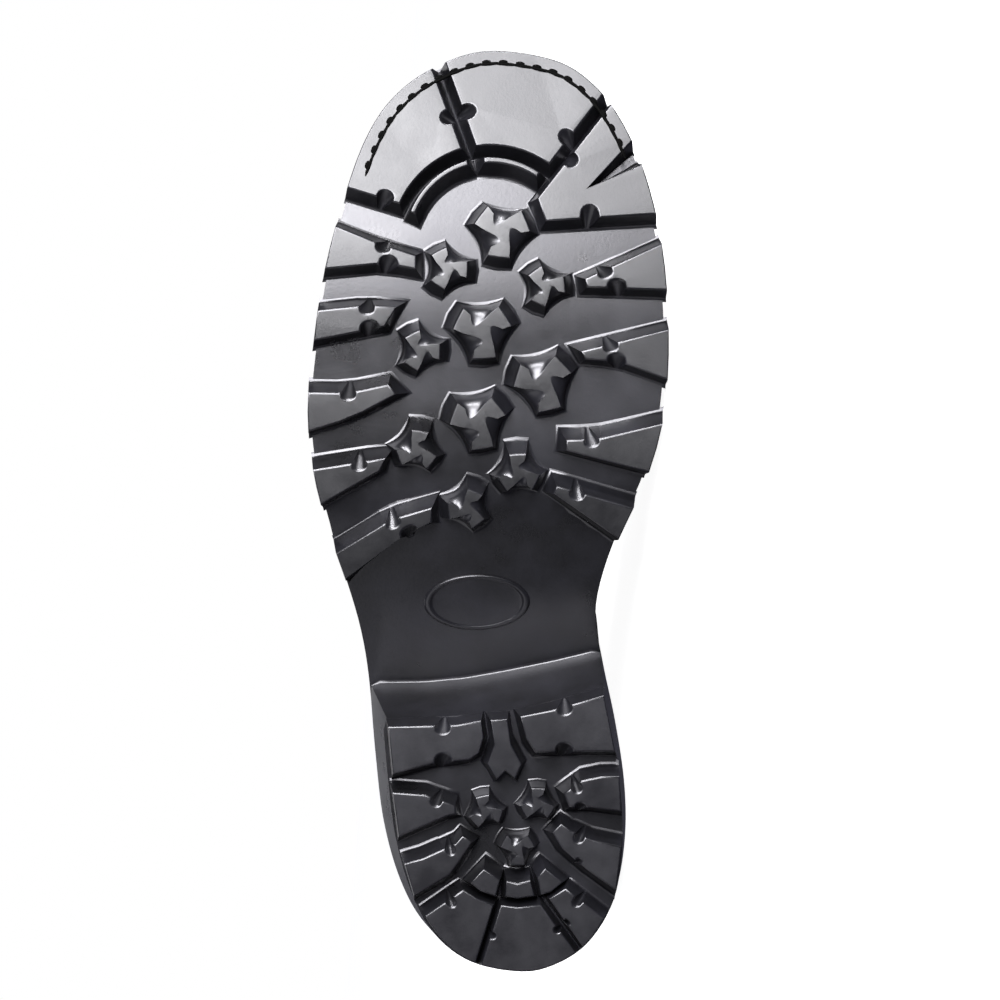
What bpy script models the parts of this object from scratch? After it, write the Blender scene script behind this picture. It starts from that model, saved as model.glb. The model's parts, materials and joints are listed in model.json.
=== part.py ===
"""A right-foot logger boot with a deep lug sole and a tall lace-up shaft, lying on its medial side.

The boot is modelled upright in its own frame, in millimetres: across (lateral side positive),
along (heel to toe) and up (from the ground plane that the lugs stand on). An empty then lays it down.
"""

import math

import bmesh
import bpy
import numpy as np
from mathutils import Matrix, Vector

MM = 0.001

# Sole sizes
LUG_DEPTH = 7.0
LUG_DRAFT = 3.0
LUG_ROOT = 3.0
LUG_OVERHANG = 1.5
BASE_THICK = 6.5
WELT_THICK = 4.0
GAP = 0.3
WELT_CLEAR = 0.6
STACK = LUG_DEPTH + BASE_THICK + WELT_THICK + GAP + WELT_CLEAR
HEEL_HEIGHT = 50.0
HEEL_TAPER = 5.0
HEEL_LUG_STEP = 1.0
HEEL_RIM = 22
FLAT_REAR, FLAT_FRONT = 186.0, 212.0
TOE_ROCKER, SHANK_ROCKER = 235.0, 250.0
SHANK_FRONT, SEAT_FRONT = 160.0, 55.0

# Upper sizes
REVEAL_FORE, REVEAL_HEEL = 7.5, 2.8
WALL = 2.5
FOOT_CLEAR = 0.4
OVERLAY = 1.5
TONGUE_THICK = 3.0
TONGUE_CLEAR = 0.6
TONGUE_RISE = 14.0
INSOLE_THICK = 6.0
INSOLE_CLEAR, INSOLE_SIDE = 0.9, 1.8
TOE_ROUND = 30.0
FILL_SHARE = 0.35
ANKLE_REACH = 70.0
UNION_POWER = 8.0
BACK_LAG = 1.5
CREST_POWER, CREST_RINGS = 8, 3.0
RINGS, HALF_RING = 22, 22
THROAT_RING, THROAT_HALF = 11, 2
EYESTAY_WIDTH = 3
COUNTER_RINGS, COUNTER_HALF = 9, 6
COUNTER_LIFT = 0.2

# Lacing sizes
EYELET_PAIRS = 7
EYELET_OUTER, EYELET_INNER, EYELET_THICK = 4.6, 2.3, 1.2
LACE_RADIUS = 1.7
LACE_LIFT = 0.8
LACE_UNDER, LACE_OVER = 0.8, 2.0
LACE_BAR = -0.13

# Plan of the sole at the lug edge, from the back of the heel round the lateral side to the toe and back
EDGE_COLUMNS = ("along", "across")
SOLE_EDGE = [
    (-5, -3), (-1, 14), (9, 27), (24, 35.5), (45, 40), (70, 42), (95, 44), (112, 46.5), (128, 50.5),
    (145, 56), (165, 62), (187, 64.5), (210, 62.5), (235, 58.5), (258, 52.3), (278, 45.5), (292, 36.5),
    (302, 22.5), (307.5, 4), (304.5, -18), (296, -31), (283, -40.5), (265, -48), (240, -53.8), (210, -56),
    (185, -54), (165, -48), (150, -40.5), (135, -34.3), (118, -32.3), (100, -35.5), (80, -40), (58, -43.5),
    (38, -43.5), (20, -39), (5, -29), (-3, -16),
]

# Forefoot bars: where each meets the sole's edge, the two corners of its inner end, and how far its long edges bow
BAR_COLUMNS = ("side", "outer_front", "outer_rear", "inner_front", "inner_rear", "bow_front", "bow_rear")
FOREFOOT_BARS = [
    (1, 249.5, 235.7, (239.8, 28.4), (235.4, 28.4), -0.5, 1.7),
    (1, 221.7, 212.0, (222.7, 35.1), (216.4, 38.8), 0.8, 0.0),
    (1, 194.6, 181.9, (197.0, 37.8), (194.0, 35.1), -1.2, -1.3),
    (1, 168.9, 157.5, (172.5, 39.1), (168.5, 40.8), 0.0, 0.0),
    (1, 140.8, 131.8, (155.8, 23.7), (151.1, 23.7), 2.2, 2.0),
    (-1, 243.1, 228.1, (231.7, -27.8), (229.1, -28.4), 0.0, 0.0),
    (-1, 214.7, 198.3, (207.7, -26.4), (205.3, -27.8), 0.0, 1.5),
    (-1, 183.3, 167.5, (178.2, -21.4), (174.9, -21.1), -1.4, 0.0),
    (-1, 155.2, 144.8, (162.9, -18.1), (160.5, -17.1), 0.0, 0.0),
]

# Three-armed lugs: centre, reach of the arms, direction of the first arm in degrees from across towards along
STAR_COLUMNS = ("along", "across", "reach", "turn")
STAR_ARM_HALF = 24.0
STAR_VALLEY = 0.55
FOREFOOT_STARS = [
    (247.8, -0.3, 9.0, 38), (235.4, 17.7, 6.7, 63), (229.4, -14.7, 6.5, 55), (214.7, 6.4, 9.4, 27),
    (208.3, 26.8, 6.5, 63), (197.3, -13.7, 9.5, 17), (184.3, 8.0, 9.1, 21), (175.2, 28.4, 6.7, 100),
    (167.2, -5.4, 6.7, 87), (155.5, 11.7, 6.5, 114),
]
HEEL_STARS = [
    (70.2, 0.6, 7.0, 90), (54.2, 6.2, 6.2, 78), (56.5, -11.2, 6.2, 92), (41.5, -4.4, 6.2, 30),
]

# Toe plates stand outside a ring and are parted by two grooves
TOE_RING_CENTRE = (235.7, 1.7)
TOE_RING_INNER, TOE_RING_OUTER, TOE_PLATE_INNER = 34.1, 36.8, 40.8
TOE_RING_LATERAL, TOE_RING_MEDIAL = 30.0, 122.0
GROOVE_HALF = 2.1
GROOVE_COLUMNS = ("rim", "ring")
LATERAL_GROOVE = ((302.9, 19.7), (269.9, 8.4))
MEDIAL_GROOVE = ((290.6, -35.1), (259.2, -11.4))
TOE_PLATE_REAR = {"lateral_rim": 263.2, "lateral_ring": (255.5, 34.1), "medial_rim": 254.1}
TOE_MEDIAL_HEEL = ((251.8, -15.4), (258.2, -12.4))
TOE_SLIT = {"front": 276.0, "tip": (261.8, -28.8), "rear": 270.5}

# Heel plates and bars, in the same columns as the forefoot bars
HEEL_BARS = [
    (1, 64.0, 55.0, (58.0, 17.5), (54.0, 17.5), -1.0, 0.0),
    (1, 39.0, 29.0, (46.5, 14.0), (38.0, 15.0), 0.0, -1.0),
    (-1, 65.5, 55.0, (60.0, -20.5), (56.0, -22.0), 1.5, 0.0),
    (-1, 43.0, 27.5, (49.8, -19.0), (47.5, -16.5), -1.5, 0.0),
]
HEEL_FRONT_COLUMNS = ("front_rim", "rear_rim", "front_inner", "rear_inner")
HEEL_FRONT_LATERAL = ((82.6, 38.5), 67.5, (84.0, 8.0), (72.5, 8.5))
HEEL_FRONT_MEDIAL = ((92.6, -34.4), 74.2, (86.0, -6.5), (74.2, -9.5))
HEEL_RING_CENTRE = (52.5, -4.0)
HEEL_RING_INNER, HEEL_RING_OUTER = 21.4, 27.0
HEEL_RING_ARCS = ((222, 247), (254, 284), (291, 316))
HEEL_REAR_COLUMNS = ("rim_start", "rim_end", "inner_corners")
HEEL_REAR_PLATES = [
    ((4.7, 8.0), (19.7, 26.4), ((23.6, 18.4), (28.1, 14.0), (22.8, 4.4))),
    ((7.4, -23.5), (3.7, 6.2), ((22.0, 0.9), (22.0, -11.9))),
    ((17.4, -34.4), (7.4, -25.9), ((24.1, -16.2), (27.8, -20.4), (20.5, -31.0))),
]

# Heel block: the breast slopes from its edge at the shank to the tread
BREAST_TOP = ((94.0, 44.0), (95.5, 8.0), (104.5, -35.0))
BREAST_FOOT = ((83.5, 39.0), (86.0, 8.0), (93.5, -35.0))

# Last: height of the top line over the ground, and how far the body fills out past the feather line
LAST_COLUMNS = ("along", "crown", "lateral_fill", "medial_fill", "roundness")
LAST_SECTIONS = [
    (0, 170, 0, 0, 2.4), (50, 170, -1, -2, 2.4), (100, 170, -1, 4, 2.4), (130, 170, 0, 9, 2.4),
    (150, 169, 0, 10, 2.4), (165, 156, 0, 7, 2.3), (178, 136.5, 0, 4, 2.2), (190, 122.5, 0, 2, 2.2),
    (205, 109.5, 0, 1, 2.3), (220, 100, 0, 0.5, 2.4), (240, 91, 0, 0, 2.6), (260, 84.5, 0, 0, 2.8),
    (280, 79.5, 0, 0, 3.0), (300, 76, 0, 0, 3.0),
]
SHAFT_COLUMNS = ("height", "back", "front", "lateral", "medial")
SHAFT_SECTIONS = [
    (45, -1, 172, 28, 28), (65, -3.5, 172, 30, 31), (85, -3.5, 172, 32, 34), (110, 1, 172, 34, 36.5),
    (132, 5.5, 172, 36.5, 39.5), (156, 9, 165, 39, 42.5), (180, 11, 156, 41, 45), (205, 12, 149.5, 42, 46.5),
    (232, 12.5, 143.5, 42.5, 47.5), (262, 12, 137.5, 43, 48),
]
COLLAR_FRONT, COLLAR_BACK = 262.0, 254.0
SHAFT_JOIN = 165.0

# Colour, roughness and metal of each material
MATERIALS = {
    "sole_rubber": ((0.035, 0.035, 0.038), 0.5, 0.0),
    "welt_leather": ((0.03, 0.028, 0.027), 0.55, 0.0),
    "upper_leather": ((0.028, 0.026, 0.025), 0.45, 0.0),
    "insole_board": ((0.36, 0.27, 0.18), 0.8, 0.0),
    "eyelet_metal": ((0.06, 0.06, 0.065), 0.35, 1.0),
    "lace_cord": ((0.02, 0.02, 0.021), 0.8, 0.0),
}
DENSITY = {"sole_rubber": 1.15, "eyelet_metal": 7.8}
LEATHER_DENSITY = 0.9


# Curves and plan loops

def smooth(share):
    share = np.clip(share, 0.0, 1.0)
    return share * share * (3 - 2 * share)


def column(rows, columns, name):
    return np.array([row[columns.index(name)] for row in rows], float)


def through(xs, ys):
    """A smooth curve through table rows, with slopes taken from the neighbouring rows."""
    slopes = np.gradient(ys, xs)

    def curve(x):
        x = np.clip(x, xs[0], xs[-1])
        i = np.clip(np.searchsorted(xs, x) - 1, 0, len(xs) - 2)
        h = xs[i + 1] - xs[i]
        t = (x - xs[i]) / h
        rise = ys[i] * (1 + 2 * t) * (1 - t) ** 2 + ys[i + 1] * t * t * (3 - 2 * t)
        return rise + h * t * (1 - t) * (slopes[i] * (1 - t) - slopes[i + 1] * t)

    return curve


def round_loop(points, per_span=12):
    """A closed smooth curve through the points, as a dense array."""
    p = np.array(points, float)
    before, after, beyond = np.roll(p, 1, 0), np.roll(p, -1, 0), np.roll(p, -2, 0)
    loop = []
    for i in range(len(p)):
        for t in np.arange(per_span) / per_span:
            loop.append(0.5 * (2 * p[i] + (after[i] - before[i]) * t
                               + (2 * before[i] - 5 * p[i] + 4 * after[i] - beyond[i]) * t ** 2
                               + (3 * p[i] - before[i] - 3 * after[i] + beyond[i]) * t ** 3))
    return np.array(loop)


def inset(loop, distance):
    """The loop moved inwards; the loop runs heel, lateral side, toe, medial side."""
    run = np.roll(loop, -1, 0) - np.roll(loop, 1, 0)
    run /= np.linalg.norm(run, axis=1)[:, None]
    inward = np.stack([run[:, 1], -run[:, 0]], 1)
    return loop + inward * np.reshape(distance, (-1, 1))


def resampled(loop, count):
    """The loop as evenly spaced points, starting at its first."""
    closed = np.vstack([loop, loop[:1]])
    travel = np.concatenate([[0], np.cumsum(np.linalg.norm(np.diff(closed, axis=0), axis=1))])
    even = np.linspace(0, travel[-1], count + 1)[:-1]
    return np.stack([np.interp(even, travel, closed[:, 0]), np.interp(even, travel, closed[:, 1])], 1)


def sides_of(loop):
    """Two functions giving the lateral and the medial edge at a place along the sole."""
    toe, heel = loop[:, 0].argmax(), loop[:, 0].argmin()
    turned = np.roll(loop, -heel, 0)
    split = (toe - heel) % len(loop)
    lateral, medial = turned[: split + 1], np.vstack([turned[split:], turned[:1]])[::-1]
    return (lambda u: np.interp(u, lateral[:, 0], lateral[:, 1]),
            lambda u: np.interp(u, medial[:, 0], medial[:, 1]))


def run_between(loop, start, end, count):
    """Points along the loop, in its own direction, from the place nearest start to the place nearest end."""
    first = np.linalg.norm(loop - np.array(start, float), axis=1).argmin()
    last = np.linalg.norm(loop - np.array(end, float), axis=1).argmin()
    steps = (last - first) % len(loop)
    picks = [(first + round(steps * k / count)) % len(loop) for k in range(count + 1)]
    return [tuple(loop[k]) for k in picks]


def arc(centre, radius, start_deg, end_deg, count):
    """Points on a circle; the angle runs from across towards along."""
    angles = np.radians(np.linspace(start_deg, end_deg, count + 1))
    return [(centre[0] + radius * math.sin(a), centre[1] + radius * math.cos(a)) for a in angles]


EDGE = round_loop(SOLE_EDGE)
EDGE_REVEAL = REVEAL_HEEL + (REVEAL_FORE - REVEAL_HEEL) * smooth((EDGE[:, 0] - 90) / 60)
EDGE_STEP = LUG_OVERHANG * smooth((EDGE[:, 0] - 115) / 15)
BASE_LOOP = inset(EDGE, EDGE_STEP)
FEATHER_LOOP = inset(EDGE, EDGE_STEP + EDGE_REVEAL)
HEEL_TREAD_LOOP = inset(EDGE, HEEL_TAPER)


# Heights of the sole

def tread(u):
    """Height of the lug faces: flat under the ball, rising to the toe and to the shank."""
    toe = np.maximum(np.asarray(u, float) - FLAT_FRONT, 0) ** 2 / (2 * TOE_ROCKER)
    return toe + np.maximum(FLAT_REAR - np.asarray(u, float), 0) ** 2 / (2 * SHANK_ROCKER)


def feather(u):
    """Height of the last's bottom edge, where the upper meets the welt."""
    lift = smooth((SHANK_FRONT - np.asarray(u, float)) / (SHANK_FRONT - SEAT_FRONT))
    return (tread(u) + STACK) * (1 - lift) + HEEL_HEIGHT * lift


def sole_top(u):
    return feather(u) - WELT_THICK - GAP - WELT_CLEAR


def sole_bottom(u):
    return sole_top(u) - BASE_THICK


# Mesh helpers

def mesh_object(name, points, faces, material, helper=False):
    mesh = bpy.data.meshes.new(name)
    mesh.from_pydata([tuple(float(c) * MM for c in p) for p in points], [], faces)
    work = bmesh.new()
    work.from_mesh(mesh)
    bmesh.ops.recalc_face_normals(work, faces=work.faces)
    work.to_mesh(mesh)
    work.free()
    obj = bpy.data.objects.new(name, mesh)
    bpy.context.scene.collection.objects.link(obj)
    obj.data.materials.append(bpy.data.materials[material])
    if helper:
        obj.hide_render = True
        obj.display_type = "WIRE"
    return obj


def rings_solid(rings, cap=None):
    """Points and faces of a solid whose rings have equal counts, closed at both ends by one face or a cap's faces."""
    count = len(rings[0])
    points = [p for ring in rings for p in ring]
    faces = []
    for r in range(len(rings) - 1):
        for i in range(count):
            j = (i + 1) % count
            faces.append((r * count + i, r * count + j, (r + 1) * count + j, (r + 1) * count + i))
    for face in cap or [tuple(range(count))]:
        faces.append(face[::-1])
        faces.append(tuple(k + (len(rings) - 1) * count for k in face))
    return points, faces


def slab(loop, bottom, top, stations):
    """A plate with the loop's outline, as strips from the lateral to the medial edge."""
    lateral, medial = sides_of(loop)
    low, high = loop[:, 0].min(), loop[:, 0].max()
    share = (1 - np.cos(np.linspace(0.06, math.pi - 0.06, stations))) / 2
    rings = []
    for u in low + (high - low) * share:
        left, right = float(lateral(u)), float(medial(u))
        rings.append([(left, u, bottom(u)), (left, u, top(u)), (right, u, top(u)), (right, u, bottom(u))])
    return rings_solid(rings)


def join(parts):
    """Several (points, faces) shapes as one list of each."""
    points, faces = [], []
    for p, f in parts:
        faces += [tuple(i + len(points) for i in face) for face in f]
        points += p
    return points, faces


def union(obj, helper):
    cut = obj.modifiers.new("join_" + helper.name, "BOOLEAN")
    cut.operation = "UNION"
    cut.solver = "EXACT"
    cut.use_self = True
    cut.object = helper


# Lugs

def grown(outline, drafts):
    """The outline with each edge moved outwards by its own draft."""
    p = np.array(outline, float)
    edge = np.roll(p, -1, 0) - p
    edge /= np.linalg.norm(edge, axis=1)[:, None]
    area = np.sum(p[:, 0] * np.roll(p[:, 1], -1) - np.roll(p[:, 0], -1) * p[:, 1])
    normal = np.stack([edge[:, 1], -edge[:, 0]], 1) * (1 if area > 0 else -1)
    moved = []
    for i in range(len(p)):
        a, b = normal[i - 1], normal[i]
        da, db = drafts[i - 1], drafts[i]
        cross = a[0] * b[1] - a[1] * b[0]
        if abs(cross) < 0.2:
            moved.append(p[i] + (a * da + b * db) / 2)
        else:
            moved.append(p[i] + np.array([da * b[1] - db * a[1], a[0] * db - b[0] * da]) / cross)
    return moved


def lug(outline, drafts, base, face):
    """A tapered block from its face down to a root sunk in the base."""
    spread = (LUG_DEPTH + LUG_ROOT) / LUG_DEPTH
    foot = grown(outline, [d * spread for d in drafts])
    top_ring = [(v, u, float(face(u))) for u, v in outline]
    root_ring = [(v, u, float(base(u)) + LUG_ROOT) for u, v in foot]
    return rings_solid([top_ring, root_ring])


def bowed(start, end, bow):
    """An edge with one point between its ends, moved along the sole."""
    middle = ((start[0] + end[0]) / 2 + bow, (start[1] + end[1]) / 2)
    return [start, middle, end]


def bar(row, loop):
    """Outline and drafts of a bar that runs in from the sole's edge."""
    side, outer_front, outer_rear, inner_front, inner_rear, bow_front, bow_rear = row
    edge = sides_of(loop)[0 if side > 0 else 1]
    front, rear = (outer_front, float(edge(outer_front))), (outer_rear, float(edge(outer_rear)))
    outline = bowed(front, inner_front, bow_front) + bowed(inner_rear, rear, bow_rear)
    return outline, [LUG_DRAFT] * 5 + [0.0]


def star(along, across, reach, turn):
    outline = []
    for arm in range(3):
        heading = turn + 120 * arm
        for offset, share in ((-STAR_ARM_HALF, 1), (STAR_ARM_HALF, 1), (60, STAR_VALLEY)):
            outline += arc((along, across), reach * share, heading + offset, heading + offset, 0)
    return outline, [LUG_DRAFT] * len(outline)


def ring_lug(centre, inner, outer, start, end, count):
    outline = arc(centre, outer, start, end, count) + arc(centre, inner, end, start, count)
    return outline, [LUG_DRAFT * 0.6] * len(outline)


def groove_sides(groove):
    """The two edges of a groove, each from the rim to the ring, lateral edge first."""
    rim, ring = np.array(groove[0]), np.array(groove[1])
    run = (rim - ring) / np.linalg.norm(rim - ring)
    square = np.array([-run[1], run[0]]) * GROOVE_HALF
    return [(tuple(rim + s * square), tuple(ring + s * square)) for s in (1, -1)]


def plate(rim_start, rim_end, rest, loop, rim_count):
    """A plate that follows the sole's edge and closes through the other corners."""
    rim = run_between(loop, rim_start, rim_end, rim_count)
    outline = rim + rest
    return outline, [0.0] * rim_count + [LUG_DRAFT * 0.6] * (len(outline) - rim_count)


def on_ring(centre, point):
    """Angle of a point round a ring's centre."""
    return math.degrees(math.atan2(point[0] - centre[0], point[1] - centre[1]))


def toe_plates():
    lateral_rim = (TOE_PLATE_REAR["lateral_rim"], 50.8)
    medial_rim = (TOE_PLATE_REAR["medial_rim"], -50.8)
    (g1_rim_l, g1_ring_l), (g1_rim_m, g1_ring_m) = groove_sides(LATERAL_GROOVE)
    (g2_rim_l, g2_ring_l), (g2_rim_m, g2_ring_m) = groove_sides(MEDIAL_GROOVE)
    angle = {key: on_ring(TOE_RING_CENTRE, point) for key, point in
             (("start", TOE_PLATE_REAR["lateral_ring"]), ("g1_l", g1_ring_l), ("g1_m", g1_ring_m),
              ("g2_l", g2_ring_l))}

    def inner(a, b, count):
        return arc(TOE_RING_CENTRE, TOE_PLATE_INNER, a, b, count)

    slit = [TOE_SLIT["tip"]]
    slit_front, slit_rear = (TOE_SLIT["front"], -46.0), (TOE_SLIT["rear"], -48.0)
    front_rim = run_between(EDGE, g2_rim_m, slit_front, 2)
    rear_rim = run_between(EDGE, slit_rear, medial_rim, 3)
    medial = front_rim + slit + rear_rim + list(TOE_MEDIAL_HEEL) + [g2_ring_m]
    medial_drafts = [0.0] * 2 + [1.0, 1.0] + [0.0] * 3 + [LUG_DRAFT] * 2 + [LUG_DRAFT * 0.6] * 2
    return [
        plate(lateral_rim, g1_rim_l, inner(angle["g1_l"], angle["start"], 5), EDGE, 6),
        plate(g1_rim_m, g2_rim_l, inner(angle["g2_l"], angle["g1_m"], 4), EDGE, 8),
        (medial, medial_drafts),
        ring_lug(TOE_RING_CENTRE, TOE_RING_INNER, TOE_RING_OUTER, TOE_RING_LATERAL, angle["g1_l"] - 2, 5),
        ring_lug(TOE_RING_CENTRE, TOE_RING_INNER, TOE_RING_OUTER, angle["g1_m"] + 2, TOE_RING_MEDIAL, 4),
    ]


def heel_plates():
    plates = []
    for (front_rim, rear_rim, front_inner, rear_inner), side in ((HEEL_FRONT_LATERAL, 0), (HEEL_FRONT_MEDIAL, 1)):
        rear = (rear_rim, float(sides_of(HEEL_TREAD_LOOP)[side](rear_rim)))
        drafts = [0.0, LUG_DRAFT, LUG_DRAFT, 0.0]
        plates.append(([front_rim, front_inner, rear_inner, rear], drafts))
    for start, end in HEEL_RING_ARCS:
        plates.append(ring_lug(HEEL_RING_CENTRE, HEEL_RING_INNER, HEEL_RING_OUTER, start, end, 2))
    for rim_start, rim_end, corners in HEEL_REAR_PLATES:
        rim = run_between(HEEL_TREAD_LOOP, rim_start, rim_end, 5)
        plates.append((rim + list(corners), [0.0] * 5 + [1.0] * (len(corners) + 1)))
    return plates


# Sole pieces

def build_outsole():
    lugs = [bar(row, EDGE) for row in FOREFOOT_BARS] + [star(*row) for row in FOREFOOT_STARS] + toe_plates()
    helper = mesh_object("forefoot_lugs", *join([lug(*shape, sole_bottom, tread) for shape in lugs]),
                         "sole_rubber", helper=True)
    outsole = mesh_object("outsole", *slab(BASE_LOOP, sole_bottom, sole_top, 30), "sole_rubber")
    union(outsole, helper)


def heel_ring(loop, front, height):
    """The loop behind a front edge, closed along that edge."""
    rim = run_between(loop, front[-1], front[0], HEEL_RIM)
    rim[0], rim[-1] = front[-1], front[0]
    return [(v, u, float(height(u))) for u, v in rim + list(front[1:-1])]


def build_heel():
    level = float(sole_bottom(0.0)) - GAP
    rings = [heel_ring(EDGE, BREAST_TOP, lambda u: np.minimum(level, sole_bottom(u) - GAP)),
             heel_ring(inset(EDGE, HEEL_TAPER + HEEL_LUG_STEP), BREAST_FOOT, lambda u: LUG_DEPTH)]
    middle = HEEL_RIM // 2
    strips = [(k, k + 1, HEEL_RIM - 1 - k, HEEL_RIM - k) for k in range(1, middle - 1)]
    strips += [(middle - 1, middle, middle + 1), (0, 1, HEEL_RIM - 1, HEEL_RIM, HEEL_RIM + 1)]
    heel = mesh_object("heel", *rings_solid(rings, strips), "sole_rubber")
    shapes = [bar(row, HEEL_TREAD_LOOP) for row in HEEL_BARS] + [star(*row) for row in HEEL_STARS] + heel_plates()
    ground, lug_base = (lambda u: 0.0), (lambda u: LUG_DEPTH)
    helper = mesh_object("heel_lugs", *join([lug(*shape, lug_base, ground) for shape in shapes]),
                         "sole_rubber", helper=True)
    union(heel, helper)


def build_welt():
    """A strip round the top of the outsole that carries the foot of the upper's wall."""
    outer, inner = resampled(BASE_LOOP, 64), resampled(inset(FEATHER_LOOP, WALL - 0.5), 64)
    top, bottom = (lambda u: feather(u) - GAP), (lambda u: feather(u) - GAP - WELT_THICK)
    loops = [[(v, u, float(height(u))) for u, v in loop]
             for loop, height in ((outer, bottom), (outer, top), (inner, top), (inner, bottom))]
    count = len(outer)
    points = [p for loop in loops for p in loop]
    faces = []
    for r in range(4):
        for i in range(count):
            j = (i + 1) % count
            s = (r + 1) % 4
            faces.append((r * count + i, r * count + j, s * count + j, s * count + i))
    mesh_object("welt", points, faces, "welt_leather")


def build_insole():
    outline = inset(FEATHER_LOOP, WALL + INSOLE_SIDE)
    bottom = (lambda u: sole_top(u) + INSOLE_CLEAR)
    mesh_object("insole", *slab(outline, bottom, lambda u: bottom(u) + INSOLE_THICK, 30), "insole_board")


# Upper

def last_curves():
    along = column(LAST_SECTIONS, LAST_COLUMNS, "along")
    height = column(SHAFT_SECTIONS, SHAFT_COLUMNS, "height")
    curves = {name: through(along, column(LAST_SECTIONS, LAST_COLUMNS, name)) for name in LAST_COLUMNS[1:]}
    for name in SHAFT_COLUMNS[1:]:
        curves["shaft_" + name] = through(height, column(SHAFT_SECTIONS, SHAFT_COLUMNS, name))
    return curves


LAST = last_curves()
FEATHER_SIDES = sides_of(FEATHER_LOOP)
TOE_TIP, HEEL_TIP = FEATHER_LOOP[:, 0].max(), FEATHER_LOOP[:, 0].min()


def crown(u):
    """Height of the top line of the foot, rounded down to the feather line at the toe."""
    near = np.clip((TOE_TIP - np.asarray(u, float)) / TOE_ROUND, 0, 1)
    return feather(u) + (LAST["crown"](u) - feather(u)) * np.sqrt(1 - (1 - near) ** 2)


def half_width(u, w, side):
    """Distance from the middle plane to the outside of the upper, lateral side 0 and medial side 1."""
    name = ("lateral", "medial")[side]
    lean = LAST["shaft_back"](w) - HEEL_TIP
    foot_u = np.clip(u - lean * (1 - smooth((u - HEEL_TIP) / ANKLE_REACH)), HEEL_TIP, TOE_TIP)
    rise = np.clip((w - feather(u)) / np.maximum(crown(u) - feather(u), 1e-6), 0, 1)
    plan = np.abs(FEATHER_SIDES[side](foot_u)) + LAST[name + "_fill"](u) * smooth(rise / FILL_SHARE)
    foot = plan * np.sqrt(np.maximum(1 - rise ** LAST["roundness"](u), 0))
    back, front = LAST["shaft_back"](w), LAST["shaft_front"](w)
    share = np.clip((u - back) / (front - back), 0, 1)
    shaft = LAST["shaft_" + name](w) * 2 * np.sqrt(share * (1 - share))
    shaft = shaft * smooth((w - feather(u)) / 60)
    return (foot ** UNION_POWER + shaft ** UNION_POWER) ** (1 / UNION_POWER)


def front_line(count):
    """Points up the front of the upper, from the toe's feather line to the collar, evenly spaced."""
    vamp_u = TOE_TIP - (TOE_TIP - SHAFT_JOIN) * (1 - np.cos(np.linspace(0, math.pi / 2, 120)))
    shaft_w = np.linspace(float(crown(SHAFT_JOIN)), COLLAR_FRONT, 60)[1:]
    path = np.vstack([np.stack([vamp_u, crown(vamp_u)], 1),
                      np.stack([LAST["shaft_front"](shaft_w), shaft_w], 1)])
    travel = np.concatenate([[0], np.cumsum(np.linalg.norm(np.diff(path, axis=0), axis=1))])
    even = np.linspace(0, travel[-1], count)
    return np.stack([np.interp(even, travel, path[:, 0]), np.interp(even, travel, path[:, 1])], 1)


def upper_grid():
    """Rings of the upper's outside from the feather line to the collar; ring points run lateral, front, medial."""
    fronts = front_line(RINGS + 1)
    turn = np.pi * np.arange(2 * HALF_RING) / HALF_RING
    share = (1 - np.cos(turn)) / 2
    grid = []
    for j in range(RINGS + 1):
        climb = (j / RINGS) ** BACK_LAG
        seat = float(feather(HEEL_TIP))
        back_w = seat + (COLLAR_BACK - seat) * climb
        back_u = HEEL_TIP if j == 0 else float(LAST["shaft_back"](back_w))
        u = back_u + (fronts[j, 0] - back_u) * share
        first = seat + (float(feather(TOE_TIP)) - seat) * (u - HEEL_TIP) / (TOE_TIP - HEEL_TIP)
        crest = share ** CREST_POWER * smooth(j / CREST_RINGS)
        sag = (feather(u) - first) * (1 - smooth(j / RINGS * 1.9)) * (1 - crest)
        w = back_w + (fronts[j, 1] - back_w) * share + sag + (FOOT_CLEAR if j == 0 else 0.0)
        lateral, medial = half_width(u, w, 0), half_width(u, w, 1)
        across = np.where(turn <= np.pi, lateral, -medial)
        across[[0, HALF_RING]] = 0.0
        grid.append(np.stack([across, u, w], 1))
    return np.array(grid)


def grid_normals(grid):
    """Outward direction at each point of the grid."""
    up = np.gradient(grid, axis=0)
    round_ring = np.roll(grid, -1, 1) - np.roll(grid, 1, 1)
    normal = np.cross(round_ring, up)
    return normal / np.linalg.norm(normal, axis=2)[:, :, None]


UPPER = upper_grid()
UPPER_OUT = grid_normals(UPPER)
RING_COUNT = 2 * HALF_RING


def sheet(rows, columns, offset):
    """A patch of the upper's grid moved out along its normals."""
    picks = [c % RING_COUNT for c in columns]
    return [UPPER[r, picks] + UPPER_OUT[r, picks] * offset for r in rows]


def split(quad):
    """Two triangles on the diagonal that every layer of the upper shares."""
    a, b, c, d = quad
    return [(a, b, c), (a, c, d)]


def thick_patch(name, inner, outer, material):
    """A closed solid between two patches with the same rows and columns."""
    rows, count = len(inner), len(inner[0])
    points = [p for patch in (inner, outer) for row in patch for p in row]
    layer = rows * count
    faces = []
    for r in range(rows - 1):
        for c in range(count - 1):
            a = r * count + c
            for tri in split((a, a + 1, a + count + 1, a + count)):
                faces += [tri[::-1], tuple(k + layer for k in tri)]
    rim = [c for c in range(count)] + [r * count + count - 1 for r in range(1, rows)]
    rim += [(rows - 1) * count + c for c in range(count - 2, -1, -1)]
    rim += [r * count for r in range(rows - 2, 0, -1)]
    for i, a in enumerate(rim):
        b = rim[(i + 1) % len(rim)]
        faces.append((a, b, b + layer, a + layer))
    return mesh_object(name, points, faces, material)


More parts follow.
